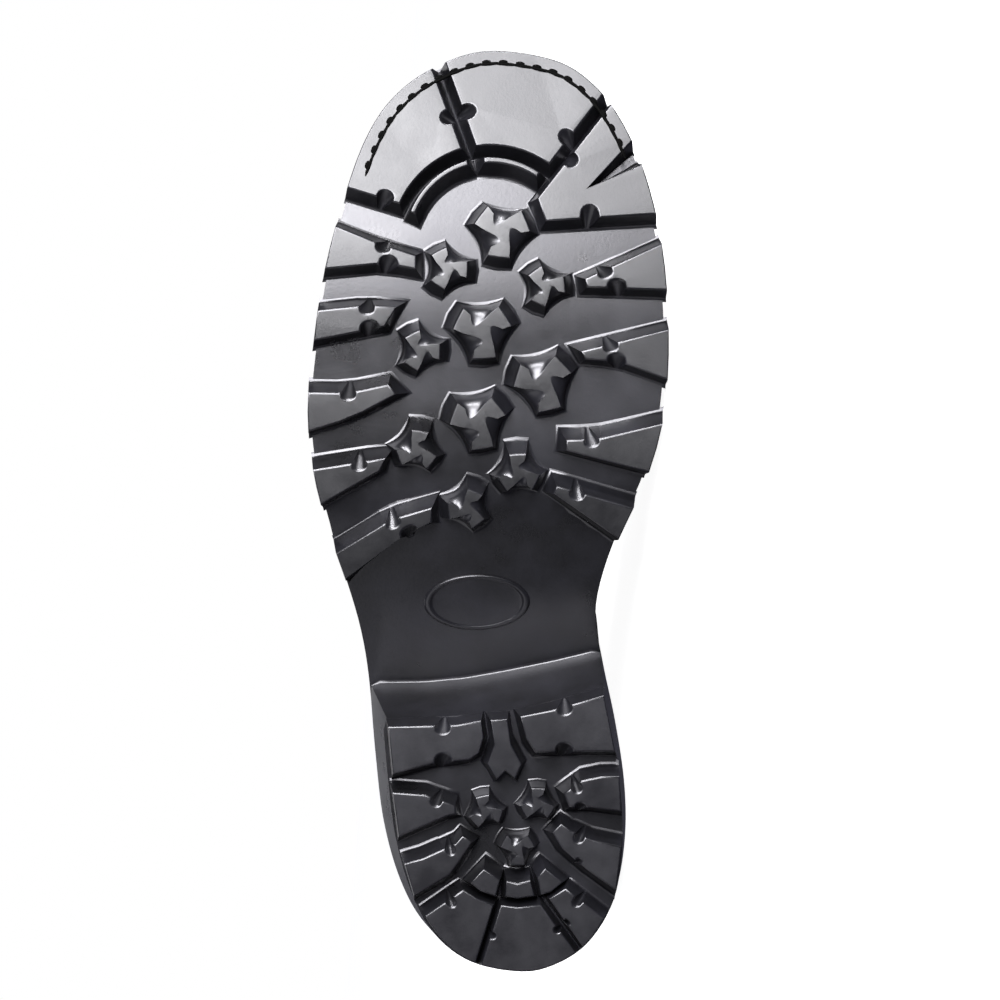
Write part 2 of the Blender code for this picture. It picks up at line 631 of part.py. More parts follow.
def build_upper():
    """One wall, open at the collar, down the throat and underneath."""
    points = [p for row in UPPER for p in row]
    layer = len(points)
    points += [p for row in UPPER - UPPER_OUT * WALL for p in row]
    quads = []
    for r in range(RINGS):
        for c in range(RING_COUNT):
            in_throat = r >= THROAT_RING and HALF_RING - THROAT_HALF <= c < HALF_RING + THROAT_HALF
            if not in_throat:
                d = (c + 1) % RING_COUNT
                a, b = r * RING_COUNT, (r + 1) * RING_COUNT
                quads.append((a + c, a + d, b + d, b + c))
    sides = {edge for quad in quads for edge in zip(quad, quad[1:] + quad[:1])}
    rims = sorted(edge for edge in sides if edge[::-1] not in sides)
    tris = [tri for quad in quads for tri in split(quad)]
    faces = tris + [tuple(k + layer for k in tri[::-1]) for tri in tris]
    faces += [(b, a, a + layer, b + layer) for a, b in rims]
    used = sorted({k for face in faces for k in face})
    number = {k: i for i, k in enumerate(used)}
    mesh_object("upper", [points[k] for k in used], [tuple(number[k] for k in f) for f in faces], "upper_leather")


def build_overlays():
    edge = HALF_RING - THROAT_HALF
    rows = range(THROAT_RING, RINGS + 1)
    for name, columns in (("eyestay_lateral", range(edge - EYESTAY_WIDTH, edge + 1)),
                          ("eyestay_medial", range(HALF_RING + THROAT_HALF, HALF_RING + THROAT_HALF + EYESTAY_WIDTH + 1))):
        thick_patch(name, sheet(rows, columns, GAP), sheet(rows, columns, GAP + OVERLAY), "upper_leather")
    rows, columns = range(0, COUNTER_RINGS + 1), range(-COUNTER_HALF, COUNTER_HALF + 1)
    layers = [sheet(rows, columns, GAP), sheet(rows, columns, GAP + OVERLAY)]
    for patch in layers:
        patch[0] = patch[0] + (patch[1] - patch[0]) * COUNTER_LIFT
    thick_patch("heel_counter", *layers, "upper_leather")


def build_tongue():
    rows = list(range(THROAT_RING - 2, RINGS + 1))
    columns = range(HALF_RING - THROAT_HALF - 2, HALF_RING + THROAT_HALF + 3)
    out = -(WALL + TONGUE_CLEAR)
    outer, inner = sheet(rows, columns, out), sheet(rows, columns, out - TONGUE_THICK)
    for patch in (outer, inner):
        lift = patch[-1] - patch[-2]
        patch.append(patch[-1] + lift * TONGUE_RISE / np.linalg.norm(lift, axis=1)[:, None])
    thick_patch("tongue", inner, outer, "upper_leather")


# Lacing

def on_upper(ring, col, offset):
    """A place on the upper at fractional ring and column, raised by an offset, with its outward direction."""
    r, c = min(int(ring), RINGS - 1), int(math.floor(col))
    fr, fc = ring - r, col - c
    weights = ((r, c, (1 - fr) * (1 - fc)), (r + 1, c, fr * (1 - fc)), (r, c + 1, (1 - fr) * fc),
               (r + 1, c + 1, fr * fc))
    place = sum(UPPER[i, k % RING_COUNT] * share for i, k, share in weights)
    out = sum(UPPER_OUT[i, k % RING_COUNT] * share for i, k, share in weights)
    out = out / np.linalg.norm(out)
    return place + out * offset, out


def eyelet_ring(level):
    return THROAT_RING + 0.7 + (RINGS - THROAT_RING - 1.4) * level / (EYELET_PAIRS - 1)


def washer(name, centre, out, material):
    """A flat ring with its axis along out."""
    axis = Vector(out).normalized()
    side = axis.orthogonal().normalized()
    other = axis.cross(side)
    points = []
    for radius, level in ((EYELET_INNER, 0), (EYELET_OUTER, 0), (EYELET_OUTER, 1), (EYELET_INNER, 1)):
        for k in range(12):
            a = 2 * math.pi * k / 12
            spot = Vector(centre) + (side * math.cos(a) + other * math.sin(a)) * radius
            points.append(spot + axis * EYELET_THICK * level)
    faces = []
    for r in range(4):
        for k in range(12):
            j, s = (k + 1) % 12, (r + 1) % 4
            faces.append((r * 12 + k, r * 12 + j, s * 12 + j, s * 12 + k))
    mesh_object(name, points, faces, material)


def build_eyelets():
    column_half = THROAT_HALF + EYESTAY_WIDTH / 2
    for level in range(EYELET_PAIRS):
        for side, turn in (("lateral", -1), ("medial", 1)):
            centre, out = on_upper(eyelet_ring(level), HALF_RING + turn * column_half, 2 * GAP + OVERLAY)
            washer(f"eyelet_{side}_{level + 1}", centre, out, "eyelet_metal")


def tube(path, radius, sides=6):
    """A round cord along a path, closed at both ends."""
    rings = []
    path = [Vector(p) for p in path]
    for i, spot in enumerate(path):
        ahead = (path[min(i + 1, len(path) - 1)] - path[max(i - 1, 0)]).normalized()
        side = ahead.cross(Vector((0, 1, 0.3))).normalized()
        other = ahead.cross(side)
        rings.append([spot + (side * math.cos(2 * math.pi * k / sides) + other * math.sin(2 * math.pi * k / sides))
                      * radius for k in range(sides)])
    return rings_solid(rings)


def lace_run(from_level, to_level, turn, low):
    """One crossing from a side of the throat to the other, over the eyelets and clear of the tongue."""
    reach = THROAT_HALF + EYESTAY_WIDTH / 2
    high = 3 * GAP + OVERLAY + EYELET_THICK + LACE_RADIUS + LACE_LIFT
    run = []
    for step in range(-3, 4):
        share = step / 3
        ring = eyelet_ring(from_level) + (eyelet_ring(to_level) - eyelet_ring(from_level)) * (share + 1) / 2
        offset = low + (high - low) * smooth(abs(share) * 1.5)
        run.append(on_upper(ring, HALF_RING + turn * share * reach, offset)[0])
    return run


def build_lace():
    strands = []
    for first, low in ((-1, LACE_UNDER), (1, LACE_OVER)):
        path = []
        for level in range(EYELET_PAIRS - 1):
            turn = first * (1 if level % 2 == 0 else -1)
            run = lace_run(level, level + 1, turn, low)
            path += run if not path else run[1:]
        strands.append(tube(path, LACE_RADIUS))
    lace = mesh_object("lace", *strands[0], "lace_cord")
    union(lace, mesh_object("lace_strand", *strands[1], "lace_cord", helper=True))
    union(lace, mesh_object("lace_bar", *tube(lace_run(LACE_BAR, LACE_BAR, 1, LACE_OVER), LACE_RADIUS), "lace_cord", helper=True))


# Resting pose

def resting_pose():
    """Turn that lays the boot on its medial side, on the hull face under its centre of mass."""
    depsgraph = bpy.context.evaluated_depsgraph_get()
    points, moment, mass = [], Vector(), 0.0
    for obj in bpy.data.objects:
        if obj.type == "MESH" and not obj.hide_render:
            work = bmesh.new()
            work.from_object(obj, depsgraph)
            bmesh.ops.triangulate(work, faces=work.faces)
            density = DENSITY.get(obj.data.materials[0].name, LEATHER_DENSITY)
            for face in work.faces:
                a, b, c = (v.co for v in face.verts)
                share = a.dot(b.cross(c)) / 6 * density
                moment += (a + b + c) / 4 * share
                mass += share
            points += [v.co.copy() for v in work.verts]
            work.free()
    centre = moment / mass
    hull = bmesh.new()
    for p in points:
        hull.verts.new(p)
    made = bmesh.ops.convex_hull(hull, input=hull.verts)
    faces = [g for g in made["geom"] if isinstance(g, bmesh.types.BMFace)]
    middle = sum(points, Vector()) / len(points)
    best = None
    for face in faces:
        face.normal_update()
        out = face.normal if face.normal.dot(face.calc_center_median() - middle) > 0 else -face.normal
        drop = out.dot(face.verts[0].co - centre)
        inside = point_inside(face, centre + out * drop, out)
        if inside and -out.x > 0.9 and (best is None or drop < best[0]):
            best = (drop, out.copy())
    hull.free()
    down = best[1]
    toe = (Vector((0, 1, 0)) - down * down.y).normalized()
    turn = Matrix((toe, (-down).cross(toe), -down)).to_4x4()
    laid = [turn @ p for p in points]
    low = Vector([min(p[k] for p in laid) for k in range(3)])
    high = Vector([max(p[k] for p in laid) for k in range(3)])
    return Matrix.Translation((-(low.x + high.x) / 2, -(low.y + high.y) / 2, -low.z)) @ turn


def point_inside(face, point, out):
    corners = [v.co for v in face.verts]
    turns = [(b - a).cross(point - a).dot(out) for a, b in zip(corners, corners[1:] + corners[:1])]
    return all(t >= 0 for t in turns) or all(t <= 0 for t in turns)


def lay_down():
    pose = resting_pose()
    boot = bpy.data.objects.new("boot", None)
    bpy.context.scene.collection.objects.link(boot)
    for obj in bpy.data.objects:
        if obj.type == "MESH":
            obj.parent = boot
    boot.matrix_world = pose


def main():
    for obj in list(bpy.data.objects):
        bpy.data.objects.remove(obj)
    for name, (colour, roughness, metal) in MATERIALS.items():
        material = bpy.data.materials.new(name)
        material.use_nodes = True
        shader = material.node_tree.nodes["Principled BSDF"]
        shader.inputs["Base Color"].default_value = (*colour, 1.0)
        shader.inputs["Roughness"].default_value = roughness
        shader.inputs["Metallic"].default_value = metal
    build_outsole()
    build_heel()
    build_welt()
    build_insole()
    build_upper()
    build_overlays()
    build_tongue()
    build_eyelets()
    build_lace()
    lay_down()


main()
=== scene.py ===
import json
import math

import bmesh
import bpy
import numpy as np
from mathutils import Matrix, Vector


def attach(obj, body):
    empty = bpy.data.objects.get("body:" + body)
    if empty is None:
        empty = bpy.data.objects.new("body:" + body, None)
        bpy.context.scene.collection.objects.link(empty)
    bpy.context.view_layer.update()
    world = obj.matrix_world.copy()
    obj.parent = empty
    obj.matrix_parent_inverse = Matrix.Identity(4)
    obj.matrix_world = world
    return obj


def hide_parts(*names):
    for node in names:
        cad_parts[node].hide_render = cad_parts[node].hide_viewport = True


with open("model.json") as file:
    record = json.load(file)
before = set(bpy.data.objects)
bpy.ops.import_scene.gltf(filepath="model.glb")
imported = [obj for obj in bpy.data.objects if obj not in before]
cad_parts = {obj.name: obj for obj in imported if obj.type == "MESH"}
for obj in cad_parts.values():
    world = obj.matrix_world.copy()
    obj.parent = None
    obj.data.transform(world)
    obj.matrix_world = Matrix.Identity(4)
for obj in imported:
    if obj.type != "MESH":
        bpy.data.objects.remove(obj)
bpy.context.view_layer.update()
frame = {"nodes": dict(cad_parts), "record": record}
mm = 0.001

# Boot frame, in millimetres: across (lateral positive), along (heel to toe), up from the ground.
# Two flat lug faces, known in both frames, give the turn from the boot's frame to the row's.
bootMarks = {
    "heel_tread": Vector((24.0, 76.0, 0.0)),
    "forefoot_tread": Vector((-13.7, 197.3, 0.0)),
}


def findBootFrame():
    mounts = {m["name"]: m for m in frame["record"]["mounts"]}
    heel, fore = (Vector(mounts[name]["pos_m"]) for name in bootMarks)
    up = -Vector(mounts["heel_tread"]["axis"]).normalized()
    run = (fore - heel).normalized()
    square = up.cross(run)
    local = (bootMarks["forefoot_tread"] - bootMarks["heel_tread"]).normalized()
    along = run * local.y + square * local.x
    across = run * local.x - square * local.y
    turn = Matrix((across, along, up)).transposed().to_4x4()
    start = heel - (turn @ (bootMarks["heel_tread"] * mm))
    return Matrix.Translation(start) @ turn @ Matrix.Scale(mm, 4)


bootToRow = findBootFrame()


# Materials

def hexColour(text):
    parts = [int(text[k:k + 2], 16) / 255 for k in (1, 3, 5)]
    linear = [c / 12.92 if c <= 0.04045 else ((c + 0.055) / 1.055) ** 2.4 for c in parts]
    return (*linear, 1.0)


def addNode(tree, kind, inputs, output, **settings):
    node = tree.nodes.new("ShaderNode" + kind)
    for name, value in settings.items():
        setattr(node, name, value)
    for socket, value in inputs.items():
        if isinstance(value, bpy.types.NodeSocket):
            tree.links.new(value, node.inputs[socket])
        else:
            node.inputs[socket].default_value = value
    return node.outputs[output]


def perMetre(sizeMm):
    return 1.0 / (sizeMm * mm)


def makeMaterial(name, look, addPatterns=None):
    # noise rows are size in mm, detail, roughness and perhaps a stretch; mix and rough spread a pattern's
    # range over the two colours and the roughness, and bump rows are pattern, strength and depth in mm
    material = bpy.data.materials.new(name)
    material.use_nodes = True
    tree = material.node_tree
    shader = tree.nodes["Principled BSDF"]
    for socket, value in look["sockets"].items():
        shader.inputs[socket].default_value = value
    place = addNode(tree, "TexCoord", {}, "Object")
    patterns = addPatterns(tree, place, look) if addPatterns else {}
    for key, (sizeMm, detail, rough, *stretch) in look["noise"].items():
        where = place
        if stretch:
            where = addNode(tree, "Mapping", {"Vector": place, "Scale": stretch[0]}, "Vector")
        inputs = {"Vector": where, "Scale": perMetre(sizeMm), "Detail": detail, "Roughness": rough}
        patterns[key] = addNode(tree, "TexNoise", inputs, "Fac")
    shares = {}
    for use in ("mix", "rough"):
        if use in look:
            key, low, high, toLow, toHigh = look[use]
            inputs = {"Value": patterns[key], "From Min": low, "From Max": high,
                      "To Min": toLow, "To Max": toHigh}
            shares[use] = addNode(tree, "MapRange", inputs, "Result")
    first, second = (hexColour(text) for text in look["colours"])
    colour = addNode(tree, "Mix", {0: shares["mix"], 6: first, 7: second}, 2, data_type="RGBA")
    tree.links.new(colour, shader.inputs["Base Color"])
    if "rough" in look:
        tree.links.new(shares["rough"], shader.inputs["Roughness"])
    relief = {}
    for key, strength, depthMm in look["bump"]:
        inputs = {"Height": patterns[key], "Strength": strength, "Distance": depthMm * mm, **relief}
        relief = {"Normal": addNode(tree, "Bump", inputs, "Normal")}
    if relief:
        tree.links.new(relief["Normal"], shader.inputs["Normal"])
    return material


# Moulded carbon-black rubber: satin, with a faint bloom in clouds and the fine grain of its mould
rubberLook = {
    "sockets": {"IOR": 1.52, "Specular Tint": (0.95, 0.94, 1.0, 1.0)}, "colours": ("#070708", "#101014"),
    "noise": {"cloud": (24.0, 6.0, 0.65), "grain": (1.1, 3.0, 0.5), "pit": (0.45, 1.0, 0.5)},
    "mix": ("cloud", 0.35, 0.7, 0.0, 1.0), "rough": ("cloud", 0.3, 0.7, 0.26, 0.35),
    "bump": [("grain", 0.18, 0.12), ("pit", 0.06, 0.06)],
}
# The same rubber on the lugs' faces: paler and more matt, with a finer grain
treadLook = {
    **rubberLook,
    "sockets": {"IOR": 1.52, "Specular Tint": (0.97, 0.965, 1.0, 1.0)}, "colours": ("#08080a", "#131315"),
    "noise": {"cloud": (16.0, 6.0, 0.65), "grain": (0.9, 3.0, 0.5), "pit": (0.4, 1.0, 0.5)},
    "rough": ("cloud", 0.3, 0.7, 0.34, 0.45),
}
# The same rubber on the heel's lugs: as matt, with its shine dimmed as painted shade, so the heel reads
# darker than the toe
shadedHeelLook = {**treadLook, "sockets": {"IOR": 1.52, "Specular Tint": (0.74, 0.73, 0.8, 1.0)}}
# Full-grain leather, dyed and waxed: rounded pebbles with fine valleys, pores, and a soft waxy sheen
leatherLook = {
    "sockets": {"IOR": 1.36, "Coat Weight": 0.04, "Coat Roughness": 0.4}, "colours": ("#141313", "#2b2826"),
    "noise": {"wrinkle": (7.0, 4.0, 0.55), "pore": (0.5, 2.0, 0.5), "cloud": (35.0, 5.0, 0.6)},
    "mix": ("cloud", 0.38, 0.72, 0.0, 1.0), "rough": ("wrinkle", 0.3, 0.7, 0.6, 0.78),
    "bump": [("wrinkle", 0.35, 0.5), ("pebble", 0.22, 0.16), ("pore", 0.15, 0.08)],
    "pebbleMm": 1.7, "valley": 0.28, "strayMm": 2.6, "strayBy": (0.0016, 0.0016, 0.0016),
}
# Edge-dressed leather strip: burnished black, with the faint lengthwise layers of a cut edge
weltLook = {
    "sockets": {"IOR": 1.5, "Coat Weight": 0.15, "Coat Roughness": 0.3}, "colours": ("#0f0e0e", "#211e1d"),
    "noise": {"layer": (6.0, 4.0, 0.6, (1.0, 9.0, 1.0)), "fibre": (0.7, 3.0, 0.5)},
    "mix": ("layer", 0.35, 0.7, 0.0, 1.0), "rough": ("layer", 0.3, 0.7, 0.38, 0.55),
    "bump": [("layer", 0.3, 0.2), ("fibre", 0.2, 0.08)],
}
# Vegetable-tanned lining leather: matt warm brown with fine nap
liningLook = {
    "sockets": {"IOR": 1.45, "Sheen Weight": 0.25, "Sheen Roughness": 0.5}, "colours": ("#5b4029", "#7a5a3c"),
    "noise": {"cloud": (18.0, 5.0, 0.6), "nap": (0.6, 3.0, 0.5)},
    "mix": ("cloud", 0.35, 0.7, 0.0, 1.0), "rough": ("nap", 0.3, 0.7, 0.7, 0.9), "bump": [("nap", 0.3, 0.1)],
}
# Tarred sole thread: dull and nearly black, with the twist of its plies
soleThreadLook = {
    "sockets": {"IOR": 1.06}, "colours": ("#020202", "#080808"), "noise": {"ply": (0.5, 2.0, 0.5)},
    "mix": ("ply", 0.0, 1.0, 0.0, 1.0), "rough": ("ply", 0.3, 0.7, 0.6, 0.85), "bump": [("ply", 0.4, 0.15)],
}
# Waxed bonded thread of the upper: the same twist, paler and with a waxy shine
upperThreadLook = {**soleThreadLook, "sockets": {"IOR": 1.48}, "colours": ("#141415", "#2e2e30")}
# Enamelled brass eyelet: thin glossy black paint with fine dust and rub marks
eyeletLook = {
    "sockets": {"IOR": 1.5, "Coat Weight": 0.5, "Coat Roughness": 0.15}, "colours": ("#121214", "#3a3a3d"),
    "noise": {"rub": (1.2, 4.0, 0.6)}, "mix": ("rub", 0.5, 0.75, 0.0, 1.0),
    "rough": ("rub", 0.3, 0.7, 0.25, 0.42), "bump": [("rub", 0.15, 0.05)],
}
# Braided polyester cord: two diagonal sets of strands that cross round it
cordLook = {
    "sockets": {"IOR": 1.46, "Sheen Weight": 0.3, "Sheen Roughness": 0.4}, "colours": ("#0b0b0c", "#222224"),
    "noise": {}, "mix": ("braid", 0.0, 1.0, 0.0, 1.0), "rough": ("braid", 0.0, 1.0, 0.85, 0.62),
    "bump": [("braid", 0.8, 0.35)], "lean": 52.0, "strands": 0.34,
}


def addPebbles(tree, place, look):
    stray = addNode(tree, "TexNoise", {"Vector": place, "Scale": perMetre(look["strayMm"])}, "Color")
    bent = addNode(tree, "VectorMath", {0: stray, 1: look["strayBy"], 2: place}, 0, operation="MULTIPLY_ADD")
    cells = addNode(tree, "TexVoronoi", {"Vector": bent, "Scale": perMetre(look["pebbleMm"])}, "Distance",
                    feature="DISTANCE_TO_EDGE")
    return {"pebble": addNode(tree, "MapRange", {"Value": cells, "From Max": look["valley"]}, "Result")}


def addBraid(tree, place, look):
    # the lace's own UV is in millimetres, round it and along it
    flat = addNode(tree, "UVMap", {}, "UV", uv_map="braid")
    bands = []
    for lean in (look["lean"], -look["lean"]):
        slant = (0.0, 0.0, math.radians(lean))
        turned = addNode(tree, "Mapping", {"Vector": flat, "Rotation": slant}, "Vector")
        inputs = {"Vector": turned, "Scale": look["strands"], "Distortion": 0.0}
        bands.append(addNode(tree, "TexWave", inputs, "Fac", bands_direction="X"))
    return {"braid": addNode(tree, "Math", {0: bands[0], 1: bands[1]}, 0, operation="MAXIMUM")}


soleRubber = makeMaterial("mouldedSoleRubber", rubberLook)
treadRubber = makeMaterial("mattTreadRubber", treadLook)
# a copy of the tread rubber with its shine dimmed: painted shade on the heel's lugs
shadedHeelRubber = makeMaterial("paintedShadeHeelRubber", shadedHeelLook)
upperLeather = makeMaterial("waxedUpperLeather", leatherLook, addPebbles)
weltLeather = makeMaterial("burnishedWeltLeather", weltLook)
liningLeather = makeMaterial("tanLiningLeather", liningLook)
soleThread = makeMaterial("tarredSoleThread", soleThreadLook)
upperThread = makeMaterial("bondedUpperThread", upperThreadLook)
eyeletMetal = makeMaterial("enamelledEyelet", eyeletLook)
laceCord = makeMaterial("braidedLaceCord", cordLook, addBraid)
print("materials ready")


# Plan curves of the sole

def smoothStep(share):
    share = np.clip(share, 0.0, 1.0)
    return share * share * (3 - 2 * share)


def smoothLine(points, perSpan, closed):
    # a smooth curve through the points
    p = np.array(points, float)
    ends = (p[-1:], p[:2]) if closed else ([2 * p[0] - p[1]], [2 * p[-1] - p[-2]])
    p = np.vstack([ends[0], p, ends[1]])
    line = []
    for before, here, after, beyond in zip(p, p[1:], p[2:], p[3:]):
        for t in np.arange(perSpan) / perSpan:
            line.append(0.5 * (2 * here + (after - before) * t
                               + (2 * before - 5 * here + 4 * after - beyond) * t ** 2
                               + (3 * here - before - 3 * after + beyond) * t ** 3))
    return np.array(line if closed else line + [p[-2]])


def travelOf(path):
    return np.concatenate([[0], np.cumsum(np.linalg.norm(np.diff(path, axis=0), axis=1))])


def insetLoop(loop, distance):
    run = np.roll(loop, -1, 0) - np.roll(loop, 1, 0)
    run /= np.linalg.norm(run, axis=1)[:, None]
    inward = np.stack([run[:, 1], -run[:, 0]], 1)
    return loop + inward * np.reshape(distance, (-1, 1))


def evenLoop(loop, count):
    closed = np.vstack([loop, loop[:1]])
    travel = travelOf(closed)
    even = np.linspace(0, travel[-1], count + 1)[:-1]
    return np.stack([np.interp(even, travel, closed[:, 0]), np.interp(even, travel, closed[:, 1])], 1)


def edgesOf(loop):
    toe, heel = loop[:, 0].argmax(), loop[:, 0].argmin()
    turned = np.roll(loop, -heel, 0)
    split = (toe - heel) % len(loop)
    lateral, medial = turned[: split + 1], np.vstack([turned[split:], turned[:1]])[::-1]
    return (lambda u: np.interp(u, lateral[:, 0], lateral[:, 1]),
            lambda u: np.interp(u, medial[:, 0], medial[:, 1]))


def stretchOf(loop, start, end, count):
    first = np.linalg.norm(loop - np.array(start, float), axis=1).argmin()
    last = np.linalg.norm(loop - np.array(end, float), axis=1).argmin()
    steps = (last - first) % len(loop)
    return [tuple(loop[(first + round(steps * k / count)) % len(loop)]) for k in range(count + 1)]


def arcOf(centre, radius, startDeg, endDeg, count):
    angles = np.radians(np.linspace(startDeg, endDeg, count + 1))
    return [(centre[0] + radius * math.sin(a), centre[1] + radius * math.cos(a)) for a in angles]


def angleOf(centre, point):
    return math.degrees(math.atan2(point[0] - centre[0], point[1] - centre[1]))


sole = {
    "lugDepth": 7.0, "base": 6.5, "welt": 4.0, "gap": 0.3, "weltClear": 0.6, "heelHeight": 50.0,
    "heelTaper": 5.0, "overhang": 1.1, "flatRear": 186.0, "flatFront": 212.0, "toeRocker": 235.0,
    "shankRocker": 250.0, "shankFront": 160.0, "seatFront": 55.0, "revealFore": 7.5, "revealHeel": 2.8,
    "leanFrom": 222.0, "leanRadius": 190.0, "leanHeel": -0.22, "leanToe": 0.34, "stepFrom": 135.0,
    "stepRun": 20.0, "revealFrom": 90.0, "revealRun": 60.0, "stations": 110, "strips": 12, "roundEnd": 0.05,
    "perSpan": 14,
    # (along, across) round the sole: heel, lateral side, toe, medial side
    "edge": [
        (-5, -4.2), (-1, 13), (9, 25.8), (24, 34.2), (45, 40), (70, 42.8), (95, 44.7), (112, 47.2),
        (128, 51.3), (145, 56.8), (165, 62.2), (187, 64.5), (210, 62.5), (235, 58.5), (258, 52.2),
        (278, 44.9), (292, 35.8), (302.2, 22.3), (308.2, 4), (305.2, -18.5), (296.8, -31.8), (283.6, -41.3),
        (265.2, -48.7), (240, -53.9), (210, -55.5), (185, -53.6), (165, -48.1), (150, -41.3), (135, -35.2),
        (118, -32.5), (100, -35.6), (80, -40), (58, -43.3), (38, -43.5), (20, -40), (5, -30.4), (-3, -17.3),
    ],
}
soleStack = sole["lugDepth"] + sole["base"] + sole["welt"] + sole["gap"] + sole["weltClear"]
soleEdge = smoothLine(sole["edge"], sole["perSpan"], True)
edgeStep = sole["overhang"] * smoothStep((soleEdge[:, 0] - sole["stepFrom"]) / sole["stepRun"])
foreShare = smoothStep((soleEdge[:, 0] - sole["revealFrom"]) / sole["revealRun"])
edgeReveal = sole["revealHeel"] + (sole["revealFore"] - sole["revealHeel"]) * foreShare
baseEdge = insetLoop(soleEdge, edgeStep)
featherEdge = insetLoop(soleEdge, edgeStep + edgeReveal)
heelTreadEdge = insetLoop(soleEdge, sole["heelTaper"])


def treadHeight(u):
    u = np.asarray(u, float)
    toe = np.maximum(u - sole["flatFront"], 0) ** 2 / (2 * sole["toeRocker"])
    return toe + np.maximum(sole["flatRear"] - u, 0) ** 2 / (2 * sole["shankRocker"])


def treadLean(u):
    # lugs stand square to the curved tread, so they lean to the toe in front and to the heel behind
    return min(max((u - sole["leanFrom"]) / sole["leanRadius"], sole["leanHeel"]), sole["leanToe"])


def featherHeight(u):
    lift = smoothStep((sole["shankFront"] - np.asarray(u, float)) / (sole["shankFront"] - sole["seatFront"]))
    return (treadHeight(u) + soleStack) * (1 - lift) + sole["heelHeight"] * lift


def baseTop(u):
    return featherHeight(u) - sole["welt"] - sole["gap"] - sole["weltClear"]


def baseBottom(u):
    return baseTop(u) - sole["base"]


# Finishing a piece: its mesh is made in the boot's frame and moved into the row's frame

def finishPiece(bm, name, materials, nodes=(), evenAngle=None):
    mesh = bpy.data.meshes.new(name)
    bm.transform(bootToRow)
    bm.to_mesh(mesh)
    bm.free()
    for face in mesh.polygons:
        face.use_smooth = True
    piece = bpy.data.objects.new(name, mesh)
    bpy.context.scene.collection.objects.link(piece)
    for material in materials:
        mesh.materials.append(material)
    if evenAngle:
        mesh.set_sharp_from_angle(angle=math.radians(evenAngle))
        even = piece.modifiers.new("evenFaces", "WEIGHTED_NORMAL")
        even.keep_sharp = True
        even.weight = 80
    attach(piece, "root")
    if nodes:
        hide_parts(*nodes)
    return piece


# Lugs: corners are (along, across) at the tread, each edge leans out by its own draft,
# and flutes fade down its wall

lugShape = {
    "draft": 2.6, "rimDraft": 0.0, "frontFlute": (2.5, 2.6), "rearFlute": (3.1, 4.2), "arcSteps": 10,
    "fluteFoot": 0.12, "fluteSlant": 1.0, "fluteShare": 0.42, "fluteNarrow": 0.3, "fluteBend": 0.8,
    # room beside a flute, in a lug's edge and in a bowed edge, and the share of that edge kept at its ends
    "fluteRoom": 0.7, "bowRoom": 0.8, "bowEnds": 0.03,
    # corners blunter than this sine are averaged, and sharper ones move by this many drafts at most
    "bluntCorner": 0.25, "cornerReach": 1.7,
    # (share of the draft, share of the height, rounding at the rim)
    "wall": [(1.6, -0.015, 0.0), (1.2, 0.01, 0.0), (1.02, 0.05, 0.0), (0.92, 0.13, 0.0), (0.12, 0.93, 0.0),
             (0.05, 0.97, 0.07), (0.015, 0.992, 0.22), (0.0, 1.0, 0.45)],
}


def grownOutline(outline, moves):
    p = np.array(outline, float)
    edge = np.roll(p, -1, 0) - p
    edge /= np.maximum(np.linalg.norm(edge, axis=1), 1e-9)[:, None]
    area = np.sum(p[:, 0] * np.roll(p[:, 1], -1) - np.roll(p[:, 0], -1) * p[:, 1])
    normal = np.stack([edge[:, 1], -edge[:, 0]], 1) * (1 if area > 0 else -1)
    grown = []
    for i in range(len(p)):
        a, b = normal[i - 1], normal[i]
        da, db = moves[i - 1], moves[i]
        cross = a[0] * b[1] - a[1] * b[0]
        if abs(cross) < lugShape["bluntCorner"]:
            grown.append(p[i] + (a * da + b * db) / 2)
        else:
            step = np.array([da * b[1] - db * a[1], a[0] * db - b[0] * da]) / cross
            limit = lugShape["cornerReach"] * max(abs(da), abs(db), 0.1)
            grown.append(p[i] + step * min(1.0, limit / max(np.linalg.norm(step), 1e-9)))
    return grown, normal, edge


def planLug(corners, drafts, flutes=()):
    # flutes: edge number, share along it, half width and depth at the tread
    points, moves, holes = [], [], {}
    count = len(corners)
    for i in range(count):
        a, b = np.array(corners[i], float), np.array(corners[(i + 1) % count], float)
        length = np.linalg.norm(b - a)
        points.append(a)
        moves.append(drafts[i])
        for edge, share, wide, depth in sorted(flutes):
            if edge == i:
                half = (wide + lugShape["fluteRoom"]) / length
                holes[len(points)] = (wide, depth, a + (b - a) * share)
                points += [a + (b - a) * (share - half), a + (b - a) * (share + half)]
                moves += [drafts[i]] * 2
    return points, moves, holes


def lugRing(plan, spread, rise, rounding):
    # a negative draft is a wall that runs on into the block behind it, with no fillet at its foot
    s = lugShape
    points, moves, holes = plan
    offsets = [(m * spread if m >= 0 else -m * min(spread, 1.0)) - rounding for m in moves]
    grown, normal, edge = grownOutline(points, offsets)
    ring = []
    for i, spot in enumerate(grown):
        ring.append(tuple(spot))
        if i not in holes:
            continue
        wide, depth, centre = holes[i]
        cut = max(rise - s["fluteFoot"], 0.0) / (1 - s["fluteFoot"])
        wide = wide * (s["fluteNarrow"] + (1 - s["fluteNarrow"]) * cut) + rounding
        slide = s["fluteSlant"] * (1 - cut)
        for a in np.linspace(0, math.pi, s["arcSteps"] + 1):
            inward = offsets[i] - depth * cut ** s["fluteBend"] * math.sin(a) ** s["fluteBend"]
            ring.append(tuple(centre + edge[i] * (slide - wide * math.cos(a)) + normal[i] * inward))
    return ring


